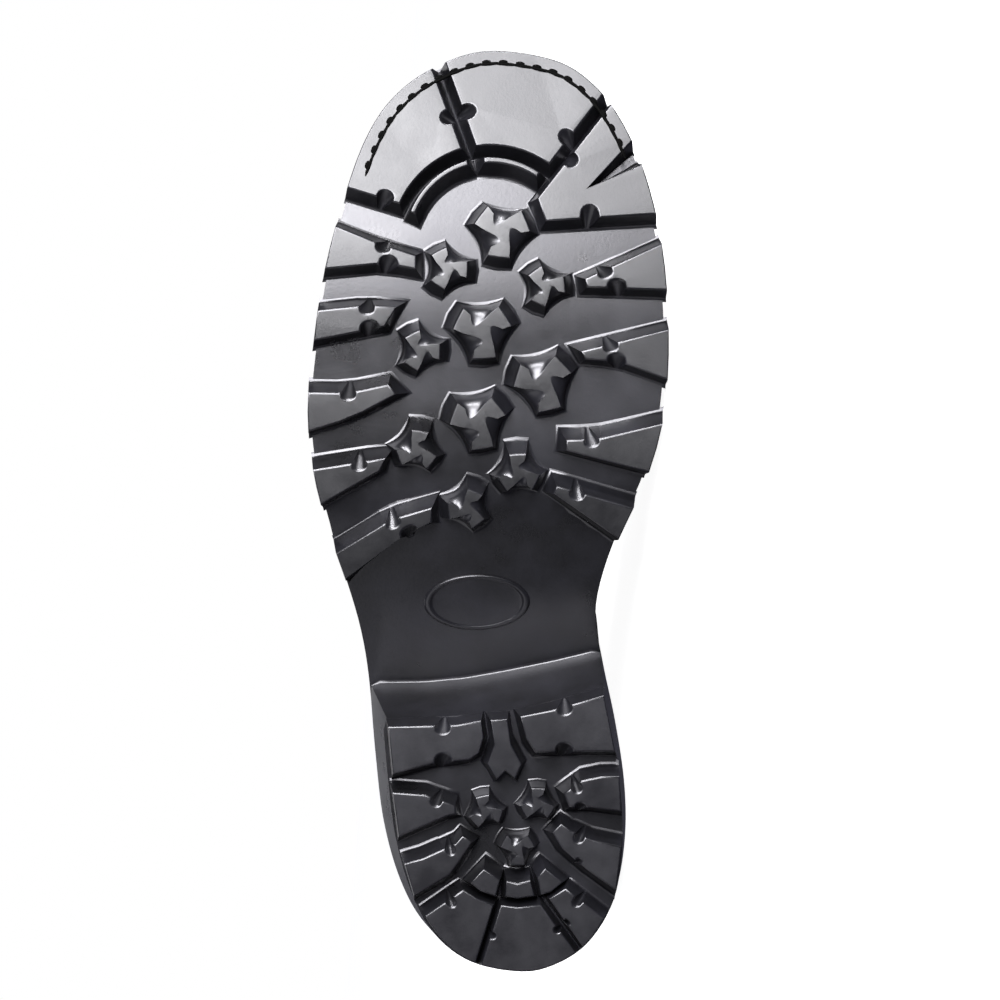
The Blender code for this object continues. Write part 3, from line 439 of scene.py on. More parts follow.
def riseRings(bm, rings, dressWall=None):
    # a face is drawn on from ring to ring, and leaves a wall behind it
    cap = bm.faces.new([bm.verts.new(p) for p in rings[0]])
    for number, ring in enumerate(rings[1:]):
        left = list(cap.verts)
        raised = bmesh.ops.extrude_face_region(bm, geom=[cap], use_keep_orig=number == 0)["geom"]
        fresh = [g for g in raised if isinstance(g, bmesh.types.BMFace)][0]
        if number > 0:
            bmesh.ops.delete(bm, geom=[cap], context="FACES_ONLY")
        cap = fresh
        for corner, spot in zip(cap.verts, ring):
            corner.co = spot
        if dressWall:
            dressWall(number, left, cap)
    return cap


def standRing(ring, rise, base, face, lean):
    stood = []
    for u, v in ring:
        foot = u - lean(u) * sole["lugDepth"] * (1 - rise)
        stood.append(Vector((v, foot, float(base(foot) * (1 - rise) + face(u) * rise))))
    return stood


def addLug(bm, plan, base, face, lean):
    rings = [standRing(lugRing(plan, spread, rise, rounding), rise, base, face, lean)
             for spread, rise, rounding in lugShape["wall"]]
    addTread(bm, rings)


def addTread(bm, rings):
    cap = riseRings(bm, rings)
    cap.material_index = 1
    bmesh.ops.triangulate(bm, faces=[cap])


def flutedEdge(start, end, bow, share, wide):
    # a bowed edge in three stretches, the flute in the middle one
    a, b = np.array(start, float), np.array(end, float)
    half = (wide + lugShape["bowRoom"]) / np.linalg.norm(b - a)
    share = min(max(share, half + lugShape["bowEnds"]), 1 - lugShape["bowEnds"] - half)
    stops = (0.0, share - half, share + half)
    return [tuple(a + (b - a) * t + np.array([bow * 4 * t * (1 - t), 0.0])) for t in stops]


def barPlan(row, loop):
    # a bar that runs in from the sole's edge, fluted once in its front edge and mostly once in its rear edge
    side, outerFront, outerRear, innerFront, innerRear, bowFront, bowRear, fluteFront, fluteRear = row
    edge = edgesOf(loop)[0 if side > 0 else 1]
    front, rear = (outerFront, float(edge(outerFront))), (outerRear, float(edge(outerRear)))
    frontFlute, (rearWide, rearDepth) = lugShape["frontFlute"], lugShape["rearFlute"]
    corners = flutedEdge(front, innerFront, bowFront, fluteFront, frontFlute[0]) + [innerFront]
    corners += flutedEdge(innerRear, rear, bowRear, 1 - (fluteRear or 0.5), rearWide) + [rear]
    middle = (outerFront + outerRear) / 2
    corners.append((middle, float(edge(middle))))
    drafts = [lugShape["draft"]] * 7 + [lugShape["rimDraft"]] * 2
    flutes = [(1, 0.5, *frontFlute)]
    if fluteRear:
        thick = outerFront - outerRear + (innerFront[0] - innerRear[0] - outerFront + outerRear) * fluteRear
        flutes.append((5, 0.5, rearWide, min(rearDepth, lugShape["fluteShare"] * thick)))
    return planLug(corners, drafts, flutes)


starShape = {
    "armHalf": 23.0, "end": 0.97, "draft": 2.95, "heelDraft": 1.7, "footMiddle": 0.9, "middleDrop": 0.12,
    "flatFoot": 0.04, "flatTop": 0.086, "endBulge": 1.01, "hollow": 12, "hollowEnds": 0.03,
    "hollowRounding": 1.3,
    # the scoop's tip on the tread: share of the reach, turn from the middle of the hollow, sharpness;
    # how far the arm's sides run straight before the scoop, and how late on the way up it cuts in
    "tip": 0.35, "tipTurn": -48.0, "tipPull": 2.2, "straight": 0.25, "late": 5.0,
    "wall": [(1.6, -0.015, 0.0), (1.2, 0.01, 0.0), (1.02, 0.05, 0.0), (0.91, 0.14, 0.0), (0.5, 0.5, 0.0),
             (0.34, 0.65, 0.0), (0.23, 0.77, 0.0), (0.15, 0.85, 0.0), (0.1, 0.9, 0.0), (0.06, 0.94, 0.05),
             (0.03, 0.97, 0.1), (0.01, 0.99, 0.22), (0.0, 1.0, 0.4)],
}


def addStar(bm, row, draft, base, face, lean):
    # three arms with flat ends; the hollows between them are scooped, and each scoop twists to one side
    along, across, reach, turn = row
    s, half = starShape, starShape["armHalf"]

    def spot(radius, degrees):
        return np.array(arcOf((along, across), radius, degrees, degrees, 0)[0])

    rings = []
    for spread, rise, rounding in s["wall"]:
        arm = reach * s["end"] + draft * spread - rounding
        high = min(max(rise, 0.0), 1.0)
        corner = arm * (1 + s["flatFoot"] + (s["flatTop"] - s["flatFoot"]) * high)
        scoop = high ** s["late"]
        pull = 1 + (s["tipPull"] - 1) * scoop
        middle = (s["footMiddle"] - s["middleDrop"] * high) * reach + draft * max(spread - s["end"], 0)
        inward = reach * s["straight"] * scoop
        bulge = arm * s["endBulge"]
        ring = []
        for heading in (turn, turn + 120, turn + 240):
            ends = [spot(corner, heading - half), spot(bulge, heading), spot(corner, heading + half)]
            start = ends[2] - (spot(inward, heading) - (along, across))
            end = spot(corner, heading + 120 - half) - (spot(inward, heading + 120) - (along, across))
            lowest = spot(middle, heading + 60) * (1 - scoop)
            lowest = lowest + spot(s["tip"] * reach, heading + 60 + s["tipTurn"]) * scoop
            lowest -= (spot(1.0, heading + 60) - (along, across)) * rounding * s["hollowRounding"]
            tip = lowest + (lowest - (start + end) / 2) / pull
            ring += [tuple(p) for p in ends]
            for t in np.linspace(s["hollowEnds"], 1 - s["hollowEnds"], s["hollow"]):
                a, b, c = (1 - t) ** 2, 2 * pull * t * (1 - t), t * t
                ring.append(tuple((start * a + tip * b + end * c) / (a + b + c)))
        rings.append(standRing(ring, rise, base, face, lean))
    addTread(bm, rings)


forefootBars = [
    # side, outer front, outer rear, inner front, inner rear, bows, shares of the flutes from the rim
    (1, 249.5, 235.7, (239.8, 28.4), (235.4, 28.4), -0.5, 1.7, 0.6, 0.7),
    (1, 221.7, 212.0, (222.7, 35.1), (216.4, 38.8), 0.8, 0.0, 0.63, 0.79),
    (1, 194.6, 181.9, (197.0, 37.8), (194.0, 35.1), -1.2, -1.3, 0.5, None),
    (1, 168.9, 157.5, (172.5, 39.1), (168.5, 40.8), 0.0, 0.0, 0.64, None),
    (1, 140.8, 131.8, (155.8, 23.7), (151.1, 23.7), 2.2, 2.0, 0.59, 0.75),
    (-1, 243.1, 228.1, (231.7, -27.8), (229.1, -28.4), 0.0, 0.0, 0.75, 0.63),
    (-1, 214.7, 198.3, (207.7, -26.4), (205.3, -27.8), 0.0, 1.5, 0.67, 0.63),
    (-1, 183.3, 167.5, (178.2, -21.4), (174.9, -21.1), -1.4, 0.0, 0.74, None),
    (-1, 155.2, 144.8, (162.9, -18.1), (160.5, -17.1), 0.0, 0.0, 0.73, None),
]
forefootStars = [
    # along, across, reach of the arms, turn of the first arm
    (247.8, -0.3, 9.0, 38), (235.4, 17.7, 6.7, 63), (229.4, -14.7, 6.5, 55), (214.7, 6.4, 9.4, 27),
    (208.3, 26.8, 6.5, 63), (197.3, -13.7, 9.5, 17), (184.3, 8.0, 9.1, 21), (175.2, 28.4, 6.7, 100),
    (167.2, -5.4, 6.7, 87), (155.5, 11.7, 6.5, 114),
]
toePlates = {
    "ringCentre": (243.5, 3.3), "ringInner": 27.2, "ringOuter": 28.8, "plateInner": 33.1,
    "ringLateral": 22.5, "ringMedial": 124.5, "ringGaps": (1.0, 4.0), "ringSteps": 10, "grooveHalf": 2.5,
    # steps along the rim and along the inner arc of the two front plates, and along each rim of the rear one
    "lateralSteps": (18, 10), "middleSteps": (24, 8), "medialSteps": 6,
    "lateralGroove": ((302.9, 19.7), (275.3, 10.2)), "medialGroove": ((290.6, -35.1), (259.2, -11.4)),
    "lateralRear": ((263.2, 50.8), (257.4, 34.2)), "medialRear": (253.0, -51.3),
    "medialCorner": ((251.2, -15.0), (258.6, -12.4)),
    "slit": ((277.8, -45.0), (261.8, -28.8), (270.3, -48.0)),
    # drafts of the walls in the two grooves and the slit, beside the ring, and of the ring
    "nearWall": 2.7, "farWall": 1.95, "sideWall": 2.9, "slimWall": 2.0, "slitFront": 1.8, "slitRear": 2.4,
    "ringSide": 2.5, "ringInnerWall": 2.8, "ringOuterWall": 1.0, "ringEnds": 2.6,
    # flutes: share along the edge, half width, depth
    "lateralFlute": (0.6, 2.4, 3.2), "middleFlute": (0.39, 2.6, 4.2), "sideFlute": (0.64, 2.6, 3.6),
    "medialFlute": (0.42, 2.6, 3.2), "rearLateral": (0.28, 2.8, 3.0), "rearMedial": (0.6, 3.1, 4.4),
}


def grooveEdges(groove):
    rim, ring = np.array(groove[0]), np.array(groove[1])
    run = (rim - ring) / np.linalg.norm(rim - ring)
    square = np.array([-run[1], run[0]]) * toePlates["grooveHalf"]
    return [(tuple(rim + s * square), tuple(ring + s * square)) for s in (1, -1)]


def ringPlan(first, last):
    t = toePlates
    centre, count, ends = t["ringCentre"], t["ringSteps"], [t["ringEnds"]]
    outline = arcOf(centre, t["ringOuter"], first, last, count)
    outline += arcOf(centre, t["ringInner"], last, first, count)
    return planLug(outline, [t["ringOuterWall"]] * count + ends + [t["ringInnerWall"]] * count + ends)


def toePlans():
    t, full = toePlates, lugShape["draft"]
    (rimA, ringA), (rimB, ringB) = grooveEdges(t["lateralGroove"])
    (rimC, ringC), (rimD, _) = grooveEdges(t["medialGroove"])
    centre = t["ringCentre"]
    angles = {key: angleOf(centre, p) for key, p in
              (("start", t["lateralRear"][1]), ("a", ringA), ("b", ringB), ("c", ringC))}

    def inner(first, last, count):
        return arcOf(centre, t["plateInner"], first, last, count)

    outer, arc = t["lateralSteps"]
    rim = stretchOf(soleEdge, t["lateralRear"][0], rimA, outer)
    lateral = planLug(rim + inner(angles["a"], angles["start"], arc),
                      [0.0] * outer + [t["nearWall"]] + [t["ringSide"]] * arc + [full],
                      [(outer, *t["lateralFlute"]), (outer + arc + 1, *t["rearLateral"])])
    outer, arc = t["middleSteps"]
    rim = stretchOf(soleEdge, rimB, rimC, outer)
    middle = planLug(rim + inner(angles["c"], angles["b"], arc),
                     [0.0] * outer + [t["sideWall"]] + [t["ringSide"]] * arc + [t["farWall"]],
                     [(outer, *t["sideFlute"]), (outer + arc + 1, *t["middleFlute"])])
    outer = t["medialSteps"]
    slitFront, slitTip, slitRear = t["slit"]
    front = stretchOf(soleEdge, rimD, slitFront, outer)
    rear = stretchOf(soleEdge, slitRear, t["medialRear"], outer)
    corners = front + [slitTip] + rear + list(t["medialCorner"])
    drafts = [0.0] * outer + [t["slitFront"], t["slitRear"]] + [0.0] * outer + [full, full, t["slimWall"]]
    medial = planLug(corners, drafts, [(2 * outer + 2, *t["rearMedial"]), (2 * outer + 4, *t["medialFlute"])])
    rings = [ringPlan(t["ringLateral"], angles["a"] + t["ringGaps"][0]),
             ringPlan(angles["b"] + t["ringGaps"][1], t["ringMedial"])]
    return [lateral, middle, medial] + rings


def addBase(bm):
    # a grid bent to the plan, and drawn up to the top
    lateral, medial = edgesOf(baseEdge)
    low, high, end = baseEdge[:, 0].min(), baseEdge[:, 0].max(), sole["roundEnd"]
    strips, stations = sole["strips"], sole["stations"]
    made = bmesh.ops.create_grid(bm, x_segments=strips, y_segments=stations, size=0.5)["verts"]
    for vert in made:
        share = (1 - math.cos(end + (math.pi - 2 * end) * (vert.co.y + 0.5))) / 2
        u = low + (high - low) * share
        left, right = float(medial(u)), float(lateral(u))
        vert.co = Vector((left + (right - left) * (vert.co.x + 0.5), u, float(baseBottom(u))))
    raised = bmesh.ops.extrude_face_region(bm, geom=list(bm.faces), use_keep_orig=True)["geom"]
    for vert in (g for g in raised if isinstance(g, bmesh.types.BMVert)):
        vert.co.z = float(baseTop(vert.co.y))


shankPad = {
    "centre": (122.4, 8.0), "half": (9.6, 17.5), "steps": 40,
    # share of the size, height over the shank
    "rings": [(1.05, -0.5), (1.03, 0.15), (1.0, 0.6), (0.97, 0.8), (0.93, 0.8), (0.905, 0.65), (0.885, 0.3),
              (0.86, 0.2)],
}


def addShankPad(bm):
    # a plain moulded oval with a raised rim
    s = shankPad
    turns = 2 * math.pi * np.arange(s["steps"]) / s["steps"]
    rings = []
    for share, height in s["rings"]:
        along = s["centre"][0] + s["half"][0] * share * np.sin(turns)
        across = s["centre"][1] + s["half"][1] * share * np.cos(turns)
        rings.append([Vector((v, u, float(baseBottom(u)) - height)) for u, v in zip(along, across)])
    bmesh.ops.triangulate(bm, faces=[riseRings(bm, rings)])


def makeOutsole():
    bm = bmesh.new()
    addBase(bm)
    addShankPad(bm)
    for row in forefootBars:
        addLug(bm, barPlan(row, soleEdge), baseBottom, treadHeight, treadLean)
    for row in forefootStars:
        addStar(bm, row, starShape["draft"], baseBottom, treadHeight, treadLean)
    for plan in toePlans():
        addLug(bm, plan, baseBottom, treadHeight, treadLean)
    bmesh.ops.recalc_face_normals(bm, faces=bm.faces)
    return finishPiece(bm, "lugOutsole", [soleRubber, treadRubber], ["outsole"], evenAngle=40)


makeOutsole()
print("outsole made")


# Heel: tapered block with a sloped breast, and its own lugs

heelShape = {
    "breastTop": [(92.9, 44.0), (92.9, 26.0), (94.1, 12.0), (96.6, -2.0), (99.9, -18.0), (103.9, -34.5)],
    "breastFoot": [(85.1, 39.0), (85.3, 24.0), (86.1, 11.0), (87.4, -3.0), (90.7, -18.0), (95.0, -34.4)],
    "inset": 3.6, "rim": 70, "front": 5, "sweepEnds": 2.5, "rearSteps": 12, "rimDraft": -0.5,
    # share of the way down, how far the breast's foot sweeps out into the shank, and a step in from the rim
    "rings": [(-0.15, 0.0, 3.0), (-0.03, 2.4, 0.4), (0.0, 2.0, 0.0), (0.007, 1.25, 0.0), (0.018, 0.95, 0.0),
              (0.04, 0.72, 0.0), (0.08, 0.42, 0.0), (0.12, 0.18, 0.0), (0.17, 0.05, 0.0), (0.22, 0.0, 0.0),
              (0.5, 0.0, 0.0), (1.0, 0.0, 0.0)],
}
heelFront = [
    # corners, drafts, flutes
    ([(83.0, 38.6), (83.4, 15.7), (84.8, 7.6), (79.3, 6.8), (74.0, 8.4), (71.9, 11.5), (70.6, 24.1),
      (67.2, 37.2)], [-2.1, -2.1, 1.2, 1.4, 1.8, 2.2, 2.2, -0.5], [(0, 0.79, 2.6, 3.0), (5, 0.7, 2.9, 3.2)]),
    ([(86.0, -5.6), (88.0, -16.0), (92.8, -33.5), (74.1, -37.2), (74.2, -24.4), (74.0, -10.4), (78.5, -7.4)],
     [-2.1, -2.1, -0.5, 2.2, 2.2, 1.8, 1.3], [(1, 0.24, 2.6, 2.8), (4, 0.3, 2.9, 3.0)]),
    ([(84.9, 4.4), (85.2, -1.2), (76.8, -2.4), (70.2, -5.9), (65.2, -3.6), (67.8, -0.4), (65.2, 2.4),
      (70.4, 5.6), (76.8, 3.2)], [-2.0, 1.0, 1.6, 1.4, 0.7, 0.7, 1.4, 1.6, 1.0], []),
]
heelBars = [
    # corners, drafts, flutes: four side bars, then the ring's three parts
    ([(60.8, 37.2), (60.0, 26.5), (56.4, 16.6), (53.6, 16.2), (52.8, 19.6), (46.2, 35.4)],
     [3.0, 3.0, 1.8, 2.0, 2.2, -0.5], [(1, 0.4, 1.9, 2.6)]),
    ([(36.8, 33.4), (38.5, 27.4), (41.5, 20.7), (43.4, 16.4), (46.1, 14.0), (44.1, 10.7), (38.1, 14.7),
      (33.1, 18.4), (29.8, 24.1), (26.2, 30.4)], [3.0, 3.0, 2.6, 2.0, 1.8, 1.8, 2.0, 2.2, 2.2, -0.5],
     [(2, 0.5, 1.6, 3.0)]),
    ([(59.9, -20.1), (64.2, -26.1), (65.5, -32.8), (65.5, -38.6), (53.8, -39.2), (55.2, -29.4),
      (55.5, -21.7)], [2.6, 3.0, 3.0, -0.5, 2.2, 2.2, 2.0], [(0, 0.62, 1.8, 2.8), (5, 0.5, 1.8, 1.6)]),
    ([(46.8, -16.1), (49.8, -19.1), (47.5, -22.1), (44.1, -29.4), (41.8, -39.2), (27.0, -37.4), (34.1, -27.8),
      (38.5, -22.7), (41.5, -19.4)], [2.0, 2.4, 2.8, 3.0, -0.5, 2.2, 2.2, 2.2, 2.2],
     [(2, 0.45, 1.8, 3.0), (6, 0.6, 1.2, 1.4)]),
    ([(30.1, 11.4), (34.8, 7.0), (31.2, 1.6), (25.6, 3.0), (27.4, 8.0)], [1.9, 3.4, 1.0, 1.4, 1.4], []),
    ([(30.6, -0.6), (29.6, -4.3), (30.6, -8.6), (25.6, -10.0), (24.8, -4.3), (25.6, -0.2)],
     [3.4, 3.4, 1.0, 1.4, 1.4, 1.0], []),
    ([(31.6, -11.0), (34.8, -13.7), (30.1, -19.4), (26.8, -15.4), (25.9, -12.2)],
     [3.4, 1.9, 1.4, 1.4, 1.0], []),
]
heelRear = [
    # rim start, rim end, then the inner corners, drafts of the inner edges, flutes
    ((4.4, 9.0), (19.7, 26.4), [(27.8, 13.8), (24.7, 9.0), (22.7, 3.7)], [2.6, 1.4, 1.4, 1.0],
     [(0, 0.63, 1.6, 3.0)]),
    ((6.4, -23.9), (3.7, 7.1), [(22.5, 1.3), (21.7, -4.3), (22.5, -12.0)], [1.0, 1.4, 1.4, 1.0],
     [(0, 0.5, 1.2, 1.7), (3, 0.5, 1.2, 1.7)]),
    ((17.8, -34.2), (7.6, -25.8), [(24.4, -14.9), (27.8, -20.4)], [1.0, 1.4, 2.6],
     [(0, 0.5, 1.2, 1.3), (2, 0.35, 1.6, 3.0)]),
]
# along, across, reach of the arms, turn of the first arm
heelStars = [(54.2, 6.2, 5.6, 78), (56.5, -11.2, 5.6, 92), (41.5, -4.4, 5.6, 30)]


def heelRing(share, sweep, step):
    h = heelShape
    loop = insetLoop(soleEdge, h["inset"] * max(share, 0.0) + step)
    top, foot = np.array(h["breastTop"]), np.array(h["breastFoot"])
    line = top + (foot - top) * max(share, 0.0)
    line[:, 0] -= step
    across = np.linspace(line[0, 1], line[-1, 1], (len(line) - 1) * h["front"] + 1)
    lean = np.interp(-across, -line[:, 1], line[:, 0])
    spread = np.minimum(1.0, np.minimum(across[0] - across, across - across[-1]) / h["sweepEnds"])
    ring = stretchOf(loop, line[-1], line[0], h["rim"])[1:-1] + list(zip(lean + sweep * spread, across))
    return [Vector((v, u, float(baseBottom(u) * (1 - share) + sole["lugDepth"] * share))) for u, v in ring]


def makeHeel():
    bm = bmesh.new()
    riseRings(bm, [heelRing(*row) for row in heelShape["rings"]])
    bmesh.ops.triangulate(bm, faces=[f for f in bm.faces if len(f.verts) > 8])
    # lug bottom, tread and lean, the same all over the heel
    levels = (lambda u: sole["lugDepth"]), (lambda u: 0.0), (lambda u: 0.0)
    for row in heelFront + heelBars:
        addLug(bm, planLug(*row), *levels)
    count, rimDraft = heelShape["rearSteps"], heelShape["rimDraft"]
    for rimStart, rimEnd, corners, drafts, flutes in heelRear:
        rim = stretchOf(heelTreadEdge, rimStart, rimEnd, count)
        flutes = [(edge + count, *flute) for edge, *flute in flutes]
        addLug(bm, planLug(rim + corners, [rimDraft] * count + drafts, flutes), *levels)
    for row in heelStars:
        addStar(bm, row, starShape["heelDraft"], *levels)
    bmesh.ops.recalc_face_normals(bm, faces=bm.faces)
    return finishPiece(bm, "lugHeel", [soleRubber, shadedHeelRubber], ["heel"], evenAngle=40)


makeHeel()
print("heel made")


# Upper surface, from the same sections as the CAD wall

upperForm = {
    "rings": 22, "half": 22, "toeRound": 30.0, "fillShare": 0.35, "ankleReach": 70.0, "unionPower": 8.0,
    "backLag": 1.5, "footClear": 0.4, "wall": 2.5, "shaftJoin": 165.0, "collarFront": 262.0,
    "collarBack": 254.0, "crestPower": 8, "crestRings": 3.0, "shaftBlend": 60.0, "sagFade": 1.9,
    "pathSteps": (240, 120),
    # quads for each ring and column, steps that give the slope and the way up, and the turned edge
    "perStep": 4, "slopeStep": 0.12, "liftStep": 0.3, "edge": 0.9,
    # along, crown, lateral fill, medial fill, roundness
    "last": [(0, 170, 0, 0, 2.4), (50, 170, -1, -2, 2.4), (100, 170, -1, 4, 2.4), (130, 170, 0, 9, 2.4),
             (150, 169, 0, 10, 2.4), (165, 156, 0, 7, 2.3), (178, 136.5, 0, 4, 2.2), (190, 122.5, 0, 2, 2.2),
             (205, 109.5, 0, 1, 2.3), (220, 100, 0, 0.5, 2.4), (240, 91, 0, 0, 2.6), (260, 84.5, 0, 0, 2.8),
             (280, 79.5, 0, 0, 3.0), (300, 76, 0, 0, 3.0)],
    # height, back, front, lateral half width, medial half width
    "shaft": [(45, -1, 172, 28, 28), (65, -3.5, 172, 30, 31), (85, -3.5, 172, 32, 34),
              (110, 1, 172, 34, 36.5), (132, 5.5, 172, 36.5, 39.5), (156, 9, 165, 39, 42.5),
              (180, 11, 156, 41, 45), (205, 12, 149.5, 42, 46.5), (232, 12.5, 143.5, 42.5, 47.5),
              (262, 12, 137.5, 43, 48)],
    # creases, listed: first and last ring and column, width and depth in millimetres
    "creases": [
        (6.3, 15.5, 6.3, 28.5, 5.0, 1.3), (7.2, 14.5, 7.1, 29.5, 4.5, 1.0), (5.5, 17.5, 5.4, 26.5, 4.0, 0.7),
        (12.4, 11.5, 11.6, 16.5, 5.0, 1.2), (12.2, 32.5, 11.5, 27.5, 5.0, 1.2),
        (13.6, 9.0, 13.2, 15.5, 6.0, 1.4), (13.7, 35.0, 13.2, 28.5, 6.0, 1.4),
        (15.2, 1.5, 14.6, 8.5, 6.0, 1.2), (15.3, 42.5, 14.6, 35.5, 6.0, 1.2),
        (16.6, -4.0, 16.8, 4.5, 6.5, 1.3), (18.0, 6.5, 17.2, 13.0, 8.0, 1.1),
        (18.2, 37.5, 17.3, 31.0, 8.0, 1.1),
    ],
    # a crease fades to its ends, and a low swell lies beside it, so many widths out
    "creaseSteps": 40, "creaseEnds": 0.02, "creaseFade": 0.7, "creaseSwell": 0.45, "creaseSwellAt": 1.9,
}


def through(xs, ys):
    slopes = np.gradient(ys, xs)

    def curve(x):
        x = np.clip(x, xs[0], xs[-1])
        i = np.clip(np.searchsorted(xs, x) - 1, 0, len(xs) - 2)
        h = xs[i + 1] - xs[i]
        t = (x - xs[i]) / h
        rise = ys[i] * (1 + 2 * t) * (1 - t) ** 2 + ys[i + 1] * t * t * (3 - 2 * t)
        return rise + h * t * (1 - t) * (slopes[i] * (1 - t) - slopes[i + 1] * t)

    return curve


def curvesOf(rows, names):
    table = np.array(rows, float)
    return {name: through(table[:, 0], table[:, k + 1]) for k, name in enumerate(names)}


lastCurve = curvesOf(upperForm["last"], ("crown", "lateralFill", "medialFill", "roundness"))
shaftCurve = curvesOf(upperForm["shaft"], ("back", "front", "lateral", "medial"))
featherSides = edgesOf(featherEdge)
toeTip, heelTip = featherEdge[:, 0].max(), featherEdge[:, 0].min()
heelSeat = float(featherHeight(heelTip))


def crownHeight(u):
    near = np.clip((toeTip - np.asarray(u, float)) / upperForm["toeRound"], 0, 1)
    return featherHeight(u) + (lastCurve["crown"](u) - featherHeight(u)) * np.sqrt(1 - (1 - near) ** 2)


def halfWidth(u, w, side):
    name = ("lateral", "medial")[side]
    lean = shaftCurve["back"](w) - heelTip
    footU = np.clip(u - lean * (1 - smoothStep((u - heelTip) / upperForm["ankleReach"])), heelTip, toeTip)
    rise = np.clip((w - featherHeight(u)) / np.maximum(crownHeight(u) - featherHeight(u), 1e-6), 0, 1)
    fill = lastCurve[name + "Fill"](u) * smoothStep(rise / upperForm["fillShare"])
    fullness = np.sqrt(np.maximum(1 - rise ** lastCurve["roundness"](u), 0))
    foot = (np.abs(featherSides[side](footU)) + fill) * fullness
    back, front = shaftCurve["back"](w), shaftCurve["front"](w)
    share = np.clip((u - back) / (front - back), 0, 1)
    blend = smoothStep((w - featherHeight(u)) / upperForm["shaftBlend"])
    shaft = shaftCurve[name](w) * 2 * np.sqrt(share * (1 - share)) * blend
    power = upperForm["unionPower"]
    return (foot ** power + shaft ** power) ** (1 / power)


def frontPath():
    join, (vampSteps, shaftSteps) = upperForm["shaftJoin"], upperForm["pathSteps"]
    vampU = toeTip - (toeTip - join) * (1 - np.cos(np.linspace(0, math.pi / 2, vampSteps)))
    shaftW = np.linspace(float(crownHeight(join)), upperForm["collarFront"], shaftSteps)[1:]
    vamp = np.stack([vampU, crownHeight(vampU)], 1)
    path = np.vstack([vamp, np.stack([shaftCurve["front"](shaftW), shaftW], 1)])
    travel = travelOf(path)
    return travel / travel[-1], path


frontShare, frontPoints = frontPath()


def upperPlace(ring, col):
    # the upper's outside at a ring (0 at the welt, 22 at the collar) and a column (0 back, 22 front)
    ring, col = np.broadcast_arrays(np.asarray(ring, float), np.asarray(col, float))
    half, level = upperForm["half"], np.clip(ring / upperForm["rings"], 0, 1)
    turned = np.mod(col, 2 * half)
    fromBack = np.minimum(turned, 2 * half - turned)

    def spotAt(columns):
        share = (1 - np.cos(np.pi * columns / half)) / 2
        backW = heelSeat + (upperForm["collarBack"] - heelSeat) * level ** upperForm["backLag"]
        backU = heelTip + (shaftCurve["back"](backW) - heelTip) * smoothStep(ring)
        frontU = np.interp(level, frontShare, frontPoints[:, 0])
        frontW = np.interp(level, frontShare, frontPoints[:, 1])
        u = backU + (frontU - backU) * share
        first = heelSeat + (float(featherHeight(toeTip)) - heelSeat) * (u - heelTip) / (toeTip - heelTip)
        crest = share ** upperForm["crestPower"] * smoothStep(ring / upperForm["crestRings"])
        sag = (featherHeight(u) - first) * (1 - smoothStep(level * upperForm["sagFade"])) * (1 - crest)
        return u, backW + (frontW - backW) * share + sag + upperForm["footClear"] * np.clip(1 - ring, 0, 1)

    u, w = spotAt(fromBack)
    edgeU, edgeW = spotAt(np.maximum(fromBack, 1.0))
    near = np.minimum(fromBack, 1.0)
    wide = np.where(turned <= half, halfWidth(edgeU, edgeW, 0), -halfWidth(edgeU, edgeW, 1)) * near
    return np.stack([wide, u, w], -1)


def upperSpot(ring, col, offset):
    # a place raised off the upper, and the way out there
    ring, col = np.broadcast_arrays(np.asarray(ring, float), np.asarray(col, float))
    step, top = upperForm["slopeStep"], upperForm["rings"]
    up = upperPlace(np.minimum(ring + step, top), col) - upperPlace(np.maximum(ring - step, 0), col)
    along = upperPlace(ring, col + step) - upperPlace(ring, col - step)
    out = np.cross(along, up)
    out /= np.maximum(np.linalg.norm(out, axis=-1), 1e-9)[..., None]
    return upperPlace(ring, col) + out * np.asarray(offset, float)[..., None], out


def creaseDepth(places):
    f = upperForm
    share = np.linspace(0, 1, f["creaseSteps"])
    fades = np.sin(np.pi * np.clip(share, f["creaseEnds"], 1 - f["creaseEnds"])) ** f["creaseFade"]
    depth = np.zeros(len(places))
    for ringA, colA, ringB, colB, width, deep in f["creases"]:
        line = upperPlace(ringA + (ringB - ringA) * share, colA + (colB - colA) * share)
        gaps = np.linalg.norm(places[:, None, :] - line[None, :, :], axis=2)
        gap = gaps.min(1) / width
        swell = f["creaseSwell"] * np.exp(-(gap - f["creaseSwellAt"]) ** 2)
        depth += fades[gaps.argmin(1)] * deep * (swell - np.exp(-gap ** 2))
    return depth


throat = {
    "ring": 11, "half": 2, "eyestay": 3, "counterRings": 9, "counterHalf": 6, "counterFoot": 0.25,
    "overlay": 1.5, "overlayEdge": 0.5, "tongueThick": 3.0, "tongueClear": 0.6, "tongueRise": 14.0,
    "tongueSide": 2, "tongueFoot": 2, "tongueEdge": 1.0,
    # rows of quads over the collar, and how far and how sharply the corners there are lowered
    "riseRows": 6, "cornerDrop": 0.75, "cornerPower": 5,
}


